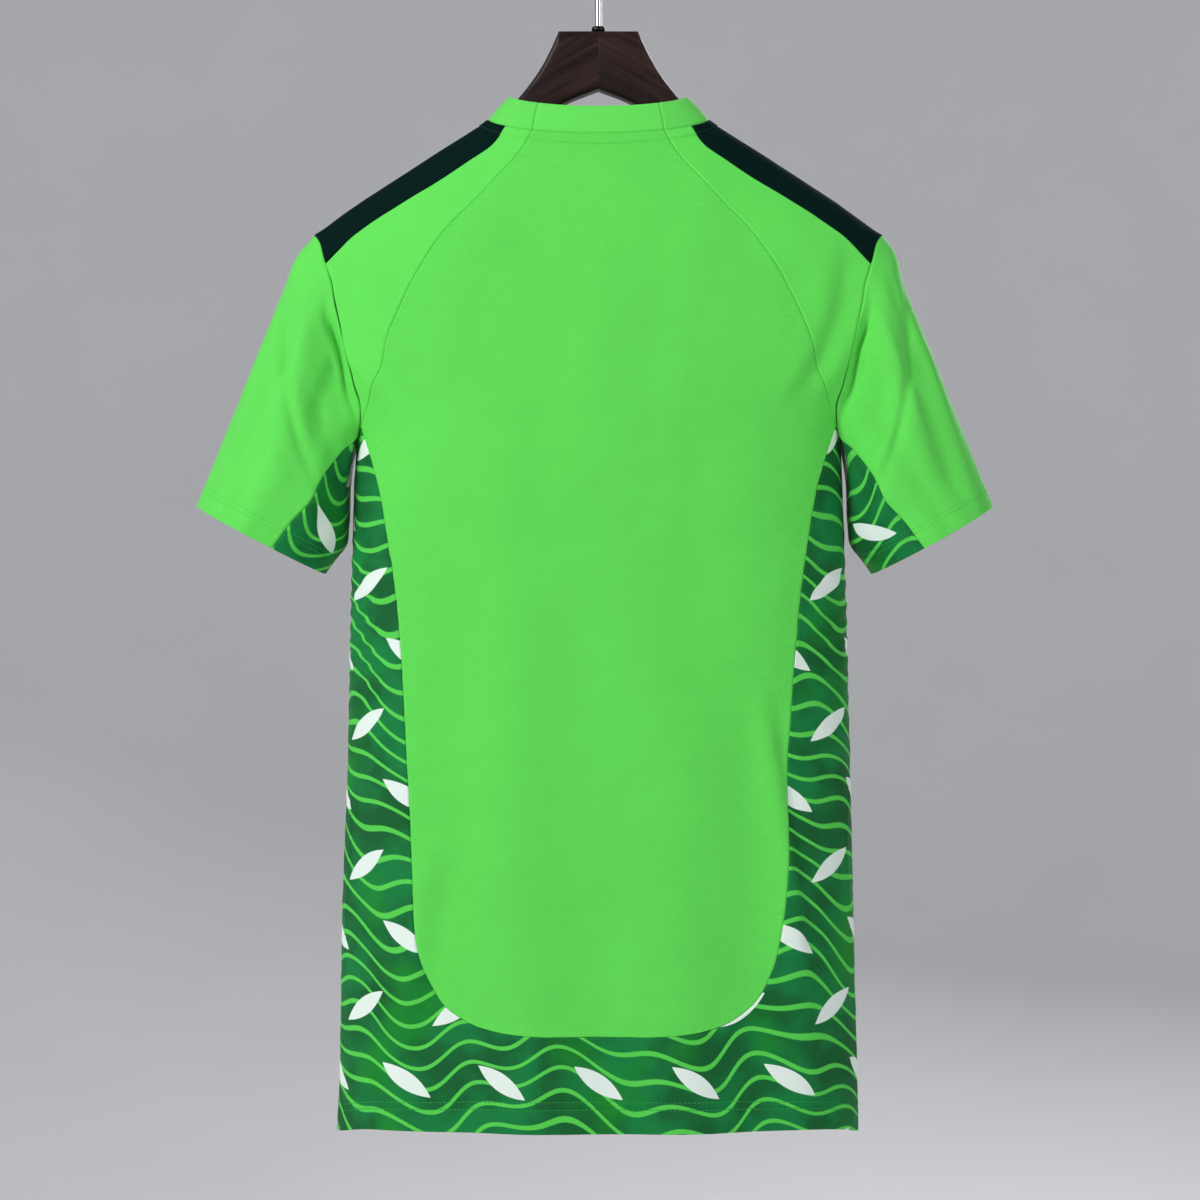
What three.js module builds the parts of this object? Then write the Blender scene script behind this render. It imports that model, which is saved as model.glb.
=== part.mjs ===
// A short-sleeved football jersey hanging on a wooden hanger, seen from its back.
// Millimetres, +Z up. The back of the garment faces -Y and the wearer's right is +X.
// The origin is where the hook rests on a rail, so the garment hangs below it.
import * as THREE from 'three';

// Cloth
const CLOTH_WALL = 1.3;
const COLLAR_WALL = 1.8;
const SEAM_GAP = 0.3;
const OVAL_POWER = 2.4;

// Levels, down from the rail
const NECK_POINT_Z = -139;
const BACK_NECK_DROP = 15;
const FRONT_NECK_DROP = 84;
const NECK_HALF_WIDTH = 79.5;
const SHOULDER_TIP_Z = -223;
const ARMHOLE_INSET = 0.135;
const ARMHOLE_INSET_LEAN = 0.048;
const ARMHOLE_POWER = 1.4;
const STRIPE_END_ROUND = 47;
const RAGLAN_END_ROUND = 156;
const ARMPIT_SPLIT = 167;
const ARMPIT_Z = -370;
const HEM_Z = -860.7;
const HEM_SIDE_DROP = 8.5;
const COLLAR_HEIGHT = 17;
const COLLAR_SLOPE_IN = 15.5;
const COLLAR_LEAN = 5;
const COLLAR_JOIN_LEAN = 6.3;
// The +X sleeve hangs narrower than the other, by this much along its upper edge
const RIGHT_SLEEVE_NARROWER = 5.5;

// Half width of the garment seen from the back, at each level
const HALF_WIDTHS = [
  { z: -130, half: 68 }, { z: -139, half: 79.5 }, { z: -149, half: 94.6 }, { z: -163, half: 116.9 },
  { z: -176.5, half: 137.7 }, { z: -190.5, half: 159.4 }, { z: -205.5, half: 181.5 }, { z: -217, half: 197 },
  { z: -226, half: 209 }, { z: -245, half: 217 }, { z: -268, half: 218 }, { z: -300, half: 209 },
  { z: -330, half: 194 }, { z: -350, half: 181 }, { z: -370, half: 175.5 }, { z: -400, half: 177 },
  { z: -440, half: 178.2 }, { z: -545, half: 180 }, { z: -640, half: 183 }, { z: -745, half: 185.5 },
  { z: -875, half: 188 },
];

// Depth of the back and of the front from the middle plane, at each level
const DEPTHS = [
  { z: -130, back: 27, front: 27 }, { z: -154, back: 35, front: 35 }, { z: -180, back: 40, front: 41 },
  { z: -220, back: 48, front: 49 }, { z: -268, back: 53, front: 55 }, { z: -300, back: 55, front: 58 },
  { z: -370, back: 58, front: 61 }, { z: -500, back: 60, front: 63 }, { z: -700, back: 63, front: 65 },
  { z: -875, back: 66, front: 67 },
];

// Levels of the shoulder ridge from the neck point to the shoulder tip
const RIDGE_LEVELS = [NECK_POINT_Z, -152, -166, -179, -194.5, -208, -216, SHOULDER_TIP_Z];

// Largest folds of the body: place across the half turn in degrees (0 at the centre of the side it is on,
// positive to +X) at its top and bottom, its levels, its height (negative for a trough) and its width
const BODY_FOLDS = [
  { side: 'back', top: -38, bottom: -30, from: -420, to: -900, height: -3.2, width: 9 },
  { side: 'back', top: -22, bottom: -14, from: -470, to: -900, height: 2.6, width: 10 },
  { side: 'back', top: -6, bottom: 3, from: -380, to: -900, height: -2.2, width: 10 },
  { side: 'back', top: 14, bottom: 20, from: -450, to: -900, height: 2.4, width: 11 },
  { side: 'back', top: 33, bottom: 37, from: -520, to: -900, height: -3.4, width: 8 },
  { side: 'back', top: 47, bottom: 52, from: -540, to: -860, height: 3.4, width: 8 },
  { side: 'back', top: -56, bottom: -50, from: -480, to: -900, height: 3.0, width: 8 },
  { side: 'front', top: -48, bottom: -40, from: -400, to: -900, height: 5.5, width: 9 },
  { side: 'front', top: -29, bottom: -22, from: -380, to: -900, height: -5.5, width: 9 },
  { side: 'front', top: -8, bottom: -3, from: -420, to: -900, height: 5.0, width: 10 },
  { side: 'front', top: 12, bottom: 17, from: -360, to: -900, height: -5.5, width: 9 },
  { side: 'front', top: 31, bottom: 37, from: -430, to: -900, height: 5.5, width: 9 },
  { side: 'front', top: 52, bottom: 56, from: -460, to: -900, height: -4.0, width: 8 },
];

// Raglan seam of the back, from the collar to just short of the armpit
const BACK_RAGLAN = [
  { x: 47, z: -151.1 }, { x: 55, z: -165.5 }, { x: 70, z: -183.5 }, { x: 89, z: -204 },
  { x: 107, z: -222.5 }, { x: 123, z: -244.5 }, { x: 136.5, z: -268.5 }, { x: 147.5, z: -294.5 },
  { x: 157, z: -322 }, { x: 164.5, z: -346 }, { x: 171, z: -362.3 },
];

// Raglan seam of the front, from the lower front neckline
const FRONT_RAGLAN = [
  { x: 47, z: -206.75 }, { x: 60, z: -223 }, { x: 76, z: -241 }, { x: 93, z: -259.5 },
  { x: 109, z: -277 }, { x: 124, z: -294 }, { x: 137, z: -310 }, { x: 148.5, z: -325.5 },
  { x: 158, z: -340 }, { x: 165, z: -352.5 }, { x: 171, z: -362.3 },
];

// Lower edge of the dark shoulder stripe, from the collar to the shoulder tip
const STRIPE_EDGE = [
  { x: 66.5, z: -147.2 }, { x: 75, z: -160.3 }, { x: 93, z: -173.3 }, { x: 114, z: -187.5 },
  { x: 135.5, z: -200.3 }, { x: 157, z: -213.9 }, { x: 178.5, z: -229.6 }, { x: 193.8, z: -246.5 },
];

// Edge of the plain centre back below the armpit, down its side and round its corner to the flat lower edge
const CENTRE_BACK = [
  { x: 171, z: -362.3 }, { x: 163, z: -385 }, { x: 155.6, z: -412 }, { x: 150, z: -444 },
  { x: 144.3, z: -480 }, { x: 139.8, z: -525 }, { x: 136.6, z: -572 }, { x: 133.9, z: -620 },
  { x: 131.6, z: -668 }, { x: 129.3, z: -710 }, { x: 126.3, z: -736 }, { x: 121, z: -755 },
  { x: 112.5, z: -770 }, { x: 100, z: -780 }, { x: 83, z: -787.3 }, { x: 60, z: -791.2 }, { x: 34, z: -793 },
];

// Side seam between the printed U and the front, as degrees round from the centre back
const SIDE_SEAM = [
  { z: -370, turn: 90 }, { z: -440, turn: 89 }, { z: -600, turn: 84 }, { z: -655, turn: 75 },
  { z: -730, turn: 78 }, { z: -870, turn: 82 },
];

// Sleeve: its upper edge and its underarm edge as seen from the back, and its half depth
const SLEEVE_ROWS = [
  { at: 0, overX: 206.4, overZ: -223, underX: 175.5, underZ: -370, depth: 34 },
  { at: 0.1, overX: 219.3, overZ: -240, underX: 178.2, underZ: -382, depth: 37 },
  { at: 0.25, overX: 230.9, overZ: -269, underX: 179.5, underZ: -397, depth: 41 },
  { at: 0.45, overX: 246.5, overZ: -308, underX: 180, underZ: -419, depth: 43 },
  { at: 0.65, overX: 262.5, overZ: -348, underX: 180.8, underZ: -441.5, depth: 44 },
  { at: 0.85, overX: 278.5, overZ: -388, underX: 190.5, underZ: -457, depth: 44 },
  { at: 1, overX: 290.4, overZ: -419, underX: 198.3, underZ: -467.5, depth: 44 },
];

// Share of the sleeve's length over which it passes from the armhole's shape to its own oval
const ARMHOLE_BLEND = 0.5;

// Where the printed underarm panel ends, in degrees round the sleeve from its upper edge
const GUSSET_EDGE = [
  { at: 0, turn: ARMPIT_SPLIT }, { at: 0.12, turn: 150 }, { at: 0.3, turn: 137 }, { at: 0.5, turn: 122 },
  { at: 0.75, turn: 112 }, { at: 1, turn: 106 },
];

// Folds of a sleeve: place round the sleeve in degrees (0 its upper edge, 90 its back) at the armhole and at
// the cuff, its stretch of the sleeve's length, its height and its width in degrees
const SLEEVE_FOLDS = [
  { top: 26, bottom: 38, from: 0.05, to: 0.95, height: 2.2, width: 12 },
  { top: 52, bottom: 58, from: 0.08, to: 1.1, height: -3.2, width: 12 },
  { top: 80, bottom: 76, from: 0.1, to: 0.9, height: 2.6, width: 12 },
  { top: 108, bottom: 98, from: -0.1, to: 0.45, height: -7.5, width: 26 },
  { top: 300, bottom: 316, from: 0.05, to: 1.1, height: -3.4, width: 13 },
  { top: 268, bottom: 284, from: 0.05, to: 1.1, height: 3.0, width: 14 },
  { top: 240, bottom: 250, from: 0, to: 0.6, height: -4.5, width: 16 },
];

// Hanger
const HANGER_GAP = 0.45;
const HANGER_NECK_TOP_Z = -75;
const HANGER_NECK_HALF_WIDTH = 28.7;
const HANGER_NECK_HALF_DEPTH = 10;
const HANGER_ARM_HALF_DEPTH = 13;
const HANGER_ARM_END = 198;
const HANGER_SEAT_START = 83.5;
const HANGER_END_ROUND = 9;
const HANGER_STEP = 9;
const HANGER_SIDES = 20;
const HANGER_NECK_POWER = 3.6;
const HANGER_ARM_POWER = 2.15;
const HANGER_NECK_FLANK = [
  { x: 28.7, z: -75 }, { x: 33, z: -85 }, { x: 41, z: -100.7 }, { x: 49, z: -112.5 },
  { x: 57.6, z: -123.2 }, { x: 70, z: -136 }, { x: 79.5, z: -144.5 },
];
const HANGER_UNDERSIDE = [
  { x: 0, z: -117.4 }, { x: 24.3, z: -127.3 }, { x: 80, z: -176 }, { x: 130, z: -205 },
  { x: 180, z: -233 }, { x: 198, z: -239 },
];
const WIRE_RADIUS = 2.5;
const WIRE_SIDES = 10;
const HOOK_INNER_RADIUS = 21;
const HOOK_START = -78;
const HOOK_END = 196;
const HOOK_STEPS = 26;
const FERRULE_RADIUS = 5;
const FERRULE_HEIGHT = 3.5;

// Finishes
const GREEN = { color: 0x4fdc4a, roughness: 0.72 };
const PRINTED = { color: 0x0a7a3c, roughness: 0.74 };
const DARK_STRIPE = { color: 0x05231e, roughness: 0.7 };
const WOOD = { color: 0x2c1916, roughness: 0.42 };
const CHROME = { color: 0xc8c8cc, roughness: 0.2, metalness: 1 };

const RIGHT_ANGLE = Math.PI / 2;
const rad = (degrees) => (degrees * Math.PI) / 180;
const mix = (a, b, t) => a + (b - a) * t;
const clamp01 = (t) => Math.min(Math.max(t, 0), 1);
const smooth = (t) => clamp01(t) ** 2 * (3 - 2 * clamp01(t));

// Value of one column of a table at a place on its key column, through a smooth curve (monotone cubic)
function column(rows, key, name) {
  const sorted = [...rows].sort((a, b) => a[key] - b[key]);
  const at = sorted.map((row) => row[key]);
  const value = sorted.map((row) => row[name]);
  const slopes = at.map((_, i) => {
    if (i === 0 || i === at.length - 1) return null;
    const before = (value[i] - value[i - 1]) / (at[i] - at[i - 1]);
    const after = (value[i + 1] - value[i]) / (at[i + 1] - at[i]);
    return before * after <= 0 ? 0 : (2 * before * after) / (before + after);
  });
  const last = at.length - 1;
  slopes[0] = (value[1] - value[0]) / (at[1] - at[0]);
  slopes[last] = (value[last] - value[last - 1]) / (at[last] - at[last - 1]);
  return (place) => {
    let i = 0;
    while (i < last - 1 && place > at[i + 1]) i += 1;
    const span = at[i + 1] - at[i];
    const t = clamp01((place - at[i]) / span);
    const t2 = t * t;
    const t3 = t2 * t;
    return (2 * t3 - 3 * t2 + 1) * value[i] + (t3 - 2 * t2 + t) * span * slopes[i]
      + (3 * t2 - 2 * t3) * value[i + 1] + (t3 - t2) * span * slopes[i + 1];
  };
}

// The garment's body: one oval ring at each level
const halfWidth = column(HALF_WIDTHS, 'z', 'half');
const backDepth = column(DEPTHS, 'z', 'back');
const frontDepth = column(DEPTHS, 'z', 'front');

// A soft ridge or trough: full between its two ends, fading in over the first third of its length
function foldStrength(from, to, place) {
  const t = (place - from) / (to - from);
  return smooth(t * 3) * smooth((1.02 - t) * 8);
}

function bodyFold(turn, z) {
  let height = 0;
  for (const fold of BODY_FOLDS) {
    const along = clamp01((z - fold.from) / (fold.to - fold.from));
    const onSide = mix(fold.top, fold.bottom, along);
    const centre = rad(fold.side === 'back' ? onSide : 180 - onSide);
    let away = turn - centre;
    away -= 2 * Math.PI * Math.round(away / (2 * Math.PI));
    height += fold.height * foldStrength(fold.from, fold.to, z) * Math.exp(-((away / rad(fold.width)) ** 2));
  }
  return height;
}

// Point of the body at a turn (0 centre back, 90 degrees at the +X side, 180 centre front) and a level
function bodyPoint(turn, z) {
  const across = Math.sin(turn);
  const back = Math.cos(turn) >= 0;
  const depth = back ? backDepth(z) : frontDepth(z);
  const bow = (1 - Math.abs(across) ** OVAL_POWER) ** (1 / OVAL_POWER);
  const fold = bodyFold(turn, z);
  return new THREE.Vector3(
    halfWidth(z) * across + fold * across,
    (back ? -1 : 1) * depth * bow - fold * Math.cos(turn),
    z,
  );
}

// Outward direction of the body, turned down in the crease right at each armpit
function bodyOutward(turn, z) {
  const step = 0.02;
  const level = 1.5;
  const round = bodyPoint(turn + step, z).sub(bodyPoint(turn - step, z));
  const down = bodyPoint(turn, z - level).sub(bodyPoint(turn, z + level));
  const outward = down.cross(round).normalize();
  const pit = new THREE.Vector3(Math.sign(Math.sin(turn)) * halfWidth(ARMPIT_Z), 0, ARMPIT_Z);
  const near = Math.exp(-((bodyPoint(turn, z).distanceTo(pit) / 11) ** 2));
  return outward.add(new THREE.Vector3(0, 0, -3 * near)).normalize();
}

// Turn on the ring at a level whose point has the given distance from the middle
const turnAt = (x, z) => Math.asin(Math.min(Math.max(x / halfWidth(z), -1), 1));

// Armhole: a loop round the body's side, from the shoulder tip (0) by the back (90) to the armpit (180)
function armholePlace(round) {
  const middle = (SHOULDER_TIP_Z + ARMPIT_Z) / 2;
  const z = middle + ((SHOULDER_TIP_Z - ARMPIT_Z) / 2) * Math.cos(round);
  const inset = ARMHOLE_INSET + ARMHOLE_INSET_LEAN * Math.cos(round);
  const ratio = 1 - inset * Math.abs(Math.sin(round)) ** ARMHOLE_POWER;
  return { turn: Math.asin(ratio), z };
}

// Place on the +X armhole at any angle round it: 0 to 180 degrees on the back, the rest on the front
function armholeSeam(round) {
  const wrapped = round - 2 * Math.PI * Math.round(round / (2 * Math.PI));
  const { turn, z } = armholePlace(Math.abs(wrapped));
  return { turn: wrapped >= 0 ? turn : Math.PI - turn, z };
}

// Shape helpers

// Closed wall from rows of places, each with its point and its outward direction, thickened inwards
function wall(grid, pointOf, outwardOf, thickness) {
  const rows = grid.length - 1;
  const columns = grid[0].length - 1;
  const positions = [];
  for (const row of grid) {
    for (const place of row) {
      const point = pointOf(place);
      const behind = point.clone().addScaledVector(outwardOf(place), -thickness);
      positions.push(point.x, point.y, point.z, behind.x, behind.y, behind.z);
    }
  }
  const outer = (i, j) => 2 * (i * (columns + 1) + j);
  const inner = (i, j) => outer(i, j) + 1;
  const faces = [];
  const quad = (a, b, c, d) => faces.push(a, b, c, a, c, d);
  for (let i = 0; i < rows; i += 1) {
    for (let j = 0; j < columns; j += 1) {
      quad(outer(i, j), outer(i + 1, j), outer(i + 1, j + 1), outer(i, j + 1));
      quad(inner(i, j), inner(i, j + 1), inner(i + 1, j + 1), inner(i + 1, j));
    }
    quad(outer(i + 1, 0), outer(i, 0), inner(i, 0), inner(i + 1, 0));
    quad(outer(i, columns), outer(i + 1, columns), inner(i + 1, columns), inner(i, columns));
  }
  for (let j = 0; j < columns; j += 1) {
    quad(outer(0, j), outer(0, j + 1), inner(0, j + 1), inner(0, j));
    quad(outer(rows, j + 1), outer(rows, j), inner(rows, j), inner(rows, j + 1));
  }
  return solid(positions, faces);
}

// Closed body through rings of as many points each, with flat ends
function loft(rings) {
  const around = rings[0].length;
  const positions = rings.flat(2);
  const faces = [];
  for (let i = 0; i < rings.length - 1; i += 1) {
    for (let j = 0; j < around; j += 1) {
      const a = i * around + j;
      const b = i * around + ((j + 1) % around);
      faces.push(a, b, b + around, a, b + around, a + around);
    }
  }
  const last = (rings.length - 1) * around;
  for (let j = 1; j < around - 1; j += 1) {
    faces.push(0, j + 1, j);
    faces.push(last, last + j, last + j + 1);
  }
  return solid(positions, faces);
}

// Geometry from points and faces, turned so that its faces point out
function solid(positions, faces) {
  let volume = 0;
  const corner = [new THREE.Vector3(), new THREE.Vector3(), new THREE.Vector3()];
  for (let f = 0; f < faces.length; f += 3) {
    corner.forEach((point, k) => point.fromArray(positions, faces[f + k] * 3));
    volume += corner[0].dot(corner[1].clone().cross(corner[2]));
  }
  if (volume < 0) faces.reverse();
  const geometry = new THREE.BufferGeometry();
  geometry.setAttribute('position', new THREE.Float32BufferAttribute(positions, 3));
  geometry.setIndex(faces);
  geometry.computeVertexNormals();
  return geometry;
}

const bodyAt = (place) => bodyPoint(place.turn, place.z);
const between = (a, b, t) => ({ turn: mix(a.turn, b.turn, t), z: mix(a.z, b.z, t) });

// Rows of places with every edge drawn back by half a seam's gap
function withSeamGap(grid) {
  const last = grid.length - 1;
  const end = grid[0].length - 1;
  const drawBack = (place, next, seamFrom, seamTo) => {
    const inward = bodyAt(next).sub(bodyAt(place));
    const seam = bodyAt(seamTo).sub(bodyAt(seamFrom));
    const square = inward.clone().cross(seam).length() / seam.length();
    return between(place, next, Math.min(SEAM_GAP / 2 / square, 0.45));
  };
  const narrowed = grid.map((row, i) => row.map((place, j) => {
    if (j !== 0 && j !== end) return place;
    const next = row[j === 0 ? 1 : end - 1];
    return drawBack(place, next, grid[Math.max(i - 1, 0)][j], grid[Math.min(i + 1, last)][j]);
  }));
  return narrowed.map((row, i) => row.map((place, j) => {
    if (i !== 0 && i !== last) return place;
    const next = narrowed[i === 0 ? 1 : last - 1][j];
    return drawBack(place, next, row[Math.max(j - 1, 0)], row[Math.min(j + 1, end)]);
  }));
}

// Piece of the body between two edges with as many places each. Its first and last rows follow the start and
// end edges where those are given, and the rows between pass over smoothly.
function bodyPiece({ edgeA, edgeB, columns, ease = (k) => k, start = null, end = null }) {
  const last = edgeA.length - 1;
  const grid = edgeA.map((a, i) => {
    const t = i / last;
    return Array.from({ length: columns + 1 }, (_, j) => {
      const k = ease(j / columns);
      const place = between(a, edgeB[i], k);
      const follow = (edge, row, share) => {
        if (!edge || share <= 0) return;
        const wanted = edge(k);
        const straight = between(edgeA[row], edgeB[row], k);
        place.turn += (wanted.turn - straight.turn) * share;
        place.z += (wanted.z - straight.z) * share;
      };
      follow(start, 0, (1 - t) ** 4);
      follow(end, last, t ** 4);
      return place;
    });
  });
  return wall(withSeamGap(grid), bodyAt, (place) => bodyOutward(place.turn, place.z), CLOTH_WALL);
}

// Places along a seam from its table, by row of the table. The first half of them covers the given share of it.
function seamPlaces(rows, count, side, front = false, firstHalf = 0.5) {
  const numbered = rows.map((row, i) => ({ at: i / (rows.length - 1), x: row.x, z: row.z }));
  const xAt = column(numbered, 'at', 'x');
  const zAt = column(numbered, 'at', 'z');
  return Array.from({ length: count + 1 }, (_, i) => {
    const t = i / count;
    const at = t < 0.5 ? 2 * t * firstHalf : mix(firstHalf, 1, 2 * t - 1);
    const z = zAt(at);
    const turn = turnAt(xAt(at), z);
    return { turn: side * (front ? Math.PI - turn : turn), z };
  });
}

// Places along an armhole between two angles round it, on the back or on the front
function armholePlaces(from, to, count, side, front = false) {
  return Array.from({ length: count + 1 }, (_, i) => {
    const { turn, z } = armholePlace(rad(mix(from, to, i / count)));
    return { turn: side * (front ? Math.PI - turn : turn), z };
  });
}

// Neckline: place on the body for an angle round the neck (0 centre back, 90 degrees the right neck point)
function neckPlace(angle) {
  if (angle < 0) return { turn: -neckPlace(-angle).turn, z: neckPlace(-angle).z };
  if (angle > Math.PI) {
    const { turn, z } = neckPlace(2 * Math.PI - angle);
    return { turn: 2 * Math.PI - turn, z };
  }
  const front = angle > RIGHT_ANGLE;
  const z = NECK_POINT_Z - (front ? FRONT_NECK_DROP : BACK_NECK_DROP) * Math.abs(Math.cos(angle));
  const turn = turnAt(NECK_HALF_WIDTH * Math.sin(angle), z);
  return { turn: front ? Math.PI - turn : turn, z };
}

// Neck angle of the back neckline's point at a distance from the middle
const neckAngle = (x) => Math.asin(x / NECK_HALF_WIDTH);

const garment = new THREE.Group();

function add(name, geometry, finish) {
  const mesh = new THREE.Mesh(geometry, new THREE.MeshStandardMaterial(finish));
  mesh.name = name;
  garment.add(mesh);
}

// Body pieces
const CENTRE_COUNT = 28;
const SIDE_COUNT = 17;
const SHOULDER_COUNT = RIDGE_LEVELS.length - 1;
const RAGLAN_COUNT = 2 * SHOULDER_COUNT;
const ARMPIT_COUNT = 3;
const FRONT_RAGLAN_RIDGE_SHARE = 0.22;
const easeToRidge = (k) => 1 - (1 - k) ** 1.6;
const sideTurn = column(SIDE_SEAM, 'z', 'turn');

// Hem level round the body: it hangs lower at the sides, as a straight hem does from sloping shoulders
const hemLevel = (turn) => HEM_Z - HEM_SIDE_DROP * Math.sin(turn) ** 12;

// Edge of the same piece on the other side
const mirrored = (places) => places.map(({ turn, z }) => ({ turn: -turn, z }));

// Centre back: from the back neckline down between the raglan seams to the rounded lower corners
function backPanel() {
  const right = [
    ...seamPlaces(BACK_RAGLAN, RAGLAN_COUNT, 1),
    ...seamPlaces(CENTRE_BACK, CENTRE_COUNT, 1).slice(1),
  ];
  const neckEnd = neckAngle(BACK_RAGLAN[0].x);
  return bodyPiece({
    edgeA: mirrored(right),
    edgeB: right,
    columns: 18,
    start: (k) => neckPlace(mix(-neckEnd, neckEnd, k)),
  });
}

// Side seam places from the armpit down to the hem
function sideSeam(side) {
  return Array.from({ length: SIDE_COUNT + 1 }, (_, i) => {
    const z = mix(ARMPIT_Z, hemLevel(rad(sideTurn(HEM_Z - HEM_SIDE_DROP))), i / SIDE_COUNT);
    return { turn: side * rad(sideTurn(z)), z };
  });
}

// Printed U of the back: from one armpit down the side, along the hem and up the other side
function backSurround() {
  const inner = seamPlaces(CENTRE_BACK, CENTRE_COUNT, 1);
  const flat = inner[CENTRE_COUNT];
  const flatCount = 2;
  for (let i = 1; i <= flatCount; i += 1) inner.push({ turn: flat.turn * (1 - i / flatCount), z: flat.z });
  const outer = sideSeam(1);
  const hemCount = inner.length - outer.length;
  const corner = outer[SIDE_COUNT].turn;
  for (let i = 1; i <= hemCount; i += 1) {
    const turn = corner * (1 - i / hemCount);
    outer.push({ turn, z: hemLevel(turn) });
  }
  const armpit = (k) => {
    const { turn, z } = armholePlace(rad(mix(RAGLAN_END_ROUND, 180, k)));
    const join = armholePlace(rad(RAGLAN_END_ROUND));
    const fade = (1 - k) ** 4;
    return { turn: turn + (inner[0].turn - join.turn) * fade, z: z + (inner[0].z - join.z) * fade };
  };
  return bodyPiece({
    edgeA: [...mirrored(inner), ...inner.slice(0, -1).reverse()],
    edgeB: [...mirrored(outer), ...outer.slice(0, -1).reverse()],
    columns: 5,
    start: (k) => ({ turn: -armpit(k).turn, z: armpit(k).z }),
    end: armpit,
  });
}

// Yoke of a back shoulder: raglan seam on one side, stripe and armhole on the other
function backYoke(side) {
  const stripe = seamPlaces(STRIPE_EDGE, SHOULDER_COUNT, side);
  const armhole = armholePlaces(STRIPE_END_ROUND, RAGLAN_END_ROUND, SHOULDER_COUNT, side);
  const neck = (k) => {
    const { turn, z } = neckPlace(mix(neckAngle(BACK_RAGLAN[0].x), neckAngle(STRIPE_EDGE[0].x), k));
    return { turn: side * turn, z };
  };
  return bodyPiece({
    edgeA: seamPlaces(BACK_RAGLAN, RAGLAN_COUNT, side),
    edgeB: [...stripe, ...armhole.slice(1)],
    columns: 5,
    start: neck,
  });
}

// Top of a shoulder, where the stripe and the front yoke meet
function ridgePlaces(side) {
  return RIDGE_LEVELS.map((z) => ({ turn: side * RIGHT_ANGLE, z }));
}

// Yoke of a front shoulder: front raglan seam on one side, ridge and armhole on the other
function frontYoke(side) {
  const armhole = armholePlaces(0, RAGLAN_END_ROUND, SHOULDER_COUNT, side, true);
  const neck = (k) => {
    const { turn, z } = neckPlace(mix(Math.PI - neckAngle(FRONT_RAGLAN[0].x), RIGHT_ANGLE, k));
    return { turn: side * turn, z };
  };
  return bodyPiece({
    edgeA: seamPlaces(FRONT_RAGLAN, RAGLAN_COUNT, side, true, FRONT_RAGLAN_RIDGE_SHARE),
    edgeB: [...ridgePlaces(side), ...armhole.slice(1)],
    columns: 6,
    ease: easeToRidge,
    start: neck,
  });
}

// Dark stripe on the back of a shoulder, from its lower edge up to the ridge
function shoulderStripe(side) {
  const neck = (k) => {
    const { turn, z } = neckPlace(mix(neckAngle(STRIPE_EDGE[0].x), RIGHT_ANGLE, k));
    return { turn: side * turn, z };
  };
  const tip = (k) => {
    const { turn, z } = armholePlace(rad(STRIPE_END_ROUND * (1 - k)));
    return { turn: side * turn, z };
  };
  return bodyPiece({
    edgeA: seamPlaces(STRIPE_EDGE, SHOULDER_COUNT, side),
    edgeB: ridgePlaces(side),
    columns: 4,
    ease: easeToRidge,
    start: neck,
    end: tip,
  });
}

// The whole front: from the front neckline between the raglan seams, then from side seam to side seam
function frontPanel() {
  const right = [
    ...seamPlaces(FRONT_RAGLAN, RAGLAN_COUNT, 1, true, FRONT_RAGLAN_RIDGE_SHARE),
    ...armholePlaces(RAGLAN_END_ROUND, 180, ARMPIT_COUNT, 1, true).slice(1),
    ...sideSeam(1).slice(1),
  ];
  const neckEnd = Math.PI - neckAngle(FRONT_RAGLAN[0].x);
  return bodyPiece({
    edgeA: right,
    edgeB: right.map(({ turn, z }) => ({ turn: 2 * Math.PI - turn, z })),
    columns: 20,
    start: (k) => neckPlace(mix(neckEnd, 2 * Math.PI - neckEnd, k)),
    end: (k) => {
      const corner = right[right.length - 1].turn;
      const turn = mix(corner, 2 * Math.PI - corner, k);
      return { turn, z: hemLevel(turn) };
    },
  });
}

// Sleeves
const overX = column(SLEEVE_ROWS, 'at', 'overX');
const overZ = column(SLEEVE_ROWS, 'at', 'overZ');
const underX = column(SLEEVE_ROWS, 'at', 'underX');
const underZ = column(SLEEVE_ROWS, 'at', 'underZ');
const sleeveDepth = column(SLEEVE_ROWS, 'at', 'depth');
const gussetTurn = column(GUSSET_EDGE, 'at', 'turn');

function sleeveFold(round, at) {
  let height = 0;
  for (const fold of SLEEVE_FOLDS) {
    const centre = rad(mix(fold.top, fold.bottom, clamp01(at)));
    let away = round - centre;
    away -= 2 * Math.PI * Math.round(away / (2 * Math.PI));
    const t = (at - fold.from) / (fold.to - fold.from);
    const strength = smooth(t * 4) * smooth((1 - t) * 3);
    height += fold.height * strength * Math.exp(-((away / rad(fold.width)) ** 2));
  }
  return height * smooth(at * 12);
}

// Point of a sleeve, on +X: round it from its upper edge by the back, and along it from armhole to cuff.
// A narrower sleeve is drawn in along its upper edge.
function sleevePoint(round, at, narrower) {
  const oval = (t) => {
    const up = (1 + Math.cos(round)) / 2;
    return new THREE.Vector3(
      mix(underX(t), overX(t), up) - narrower * up ** 2 * smooth(t / 0.2),
      -sleeveDepth(t) * Math.sin(round),
      mix(underZ(t), overZ(t), up),
    );
  };
  const hole = bodyAt(armholeSeam(round));
  const blend = (1 - clamp01(at / ARMHOLE_BLEND)) ** 2;
  const point = oval(at).add(hole.sub(oval(0)).multiplyScalar(blend));
  const middle = oval(at).set((overX(at) + underX(at)) / 2, 0, (overZ(at) + underZ(at)) / 2);
  const outward = point.clone().sub(middle).normalize();
  return point.addScaledVector(outward, sleeveFold(round, at));
}

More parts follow.
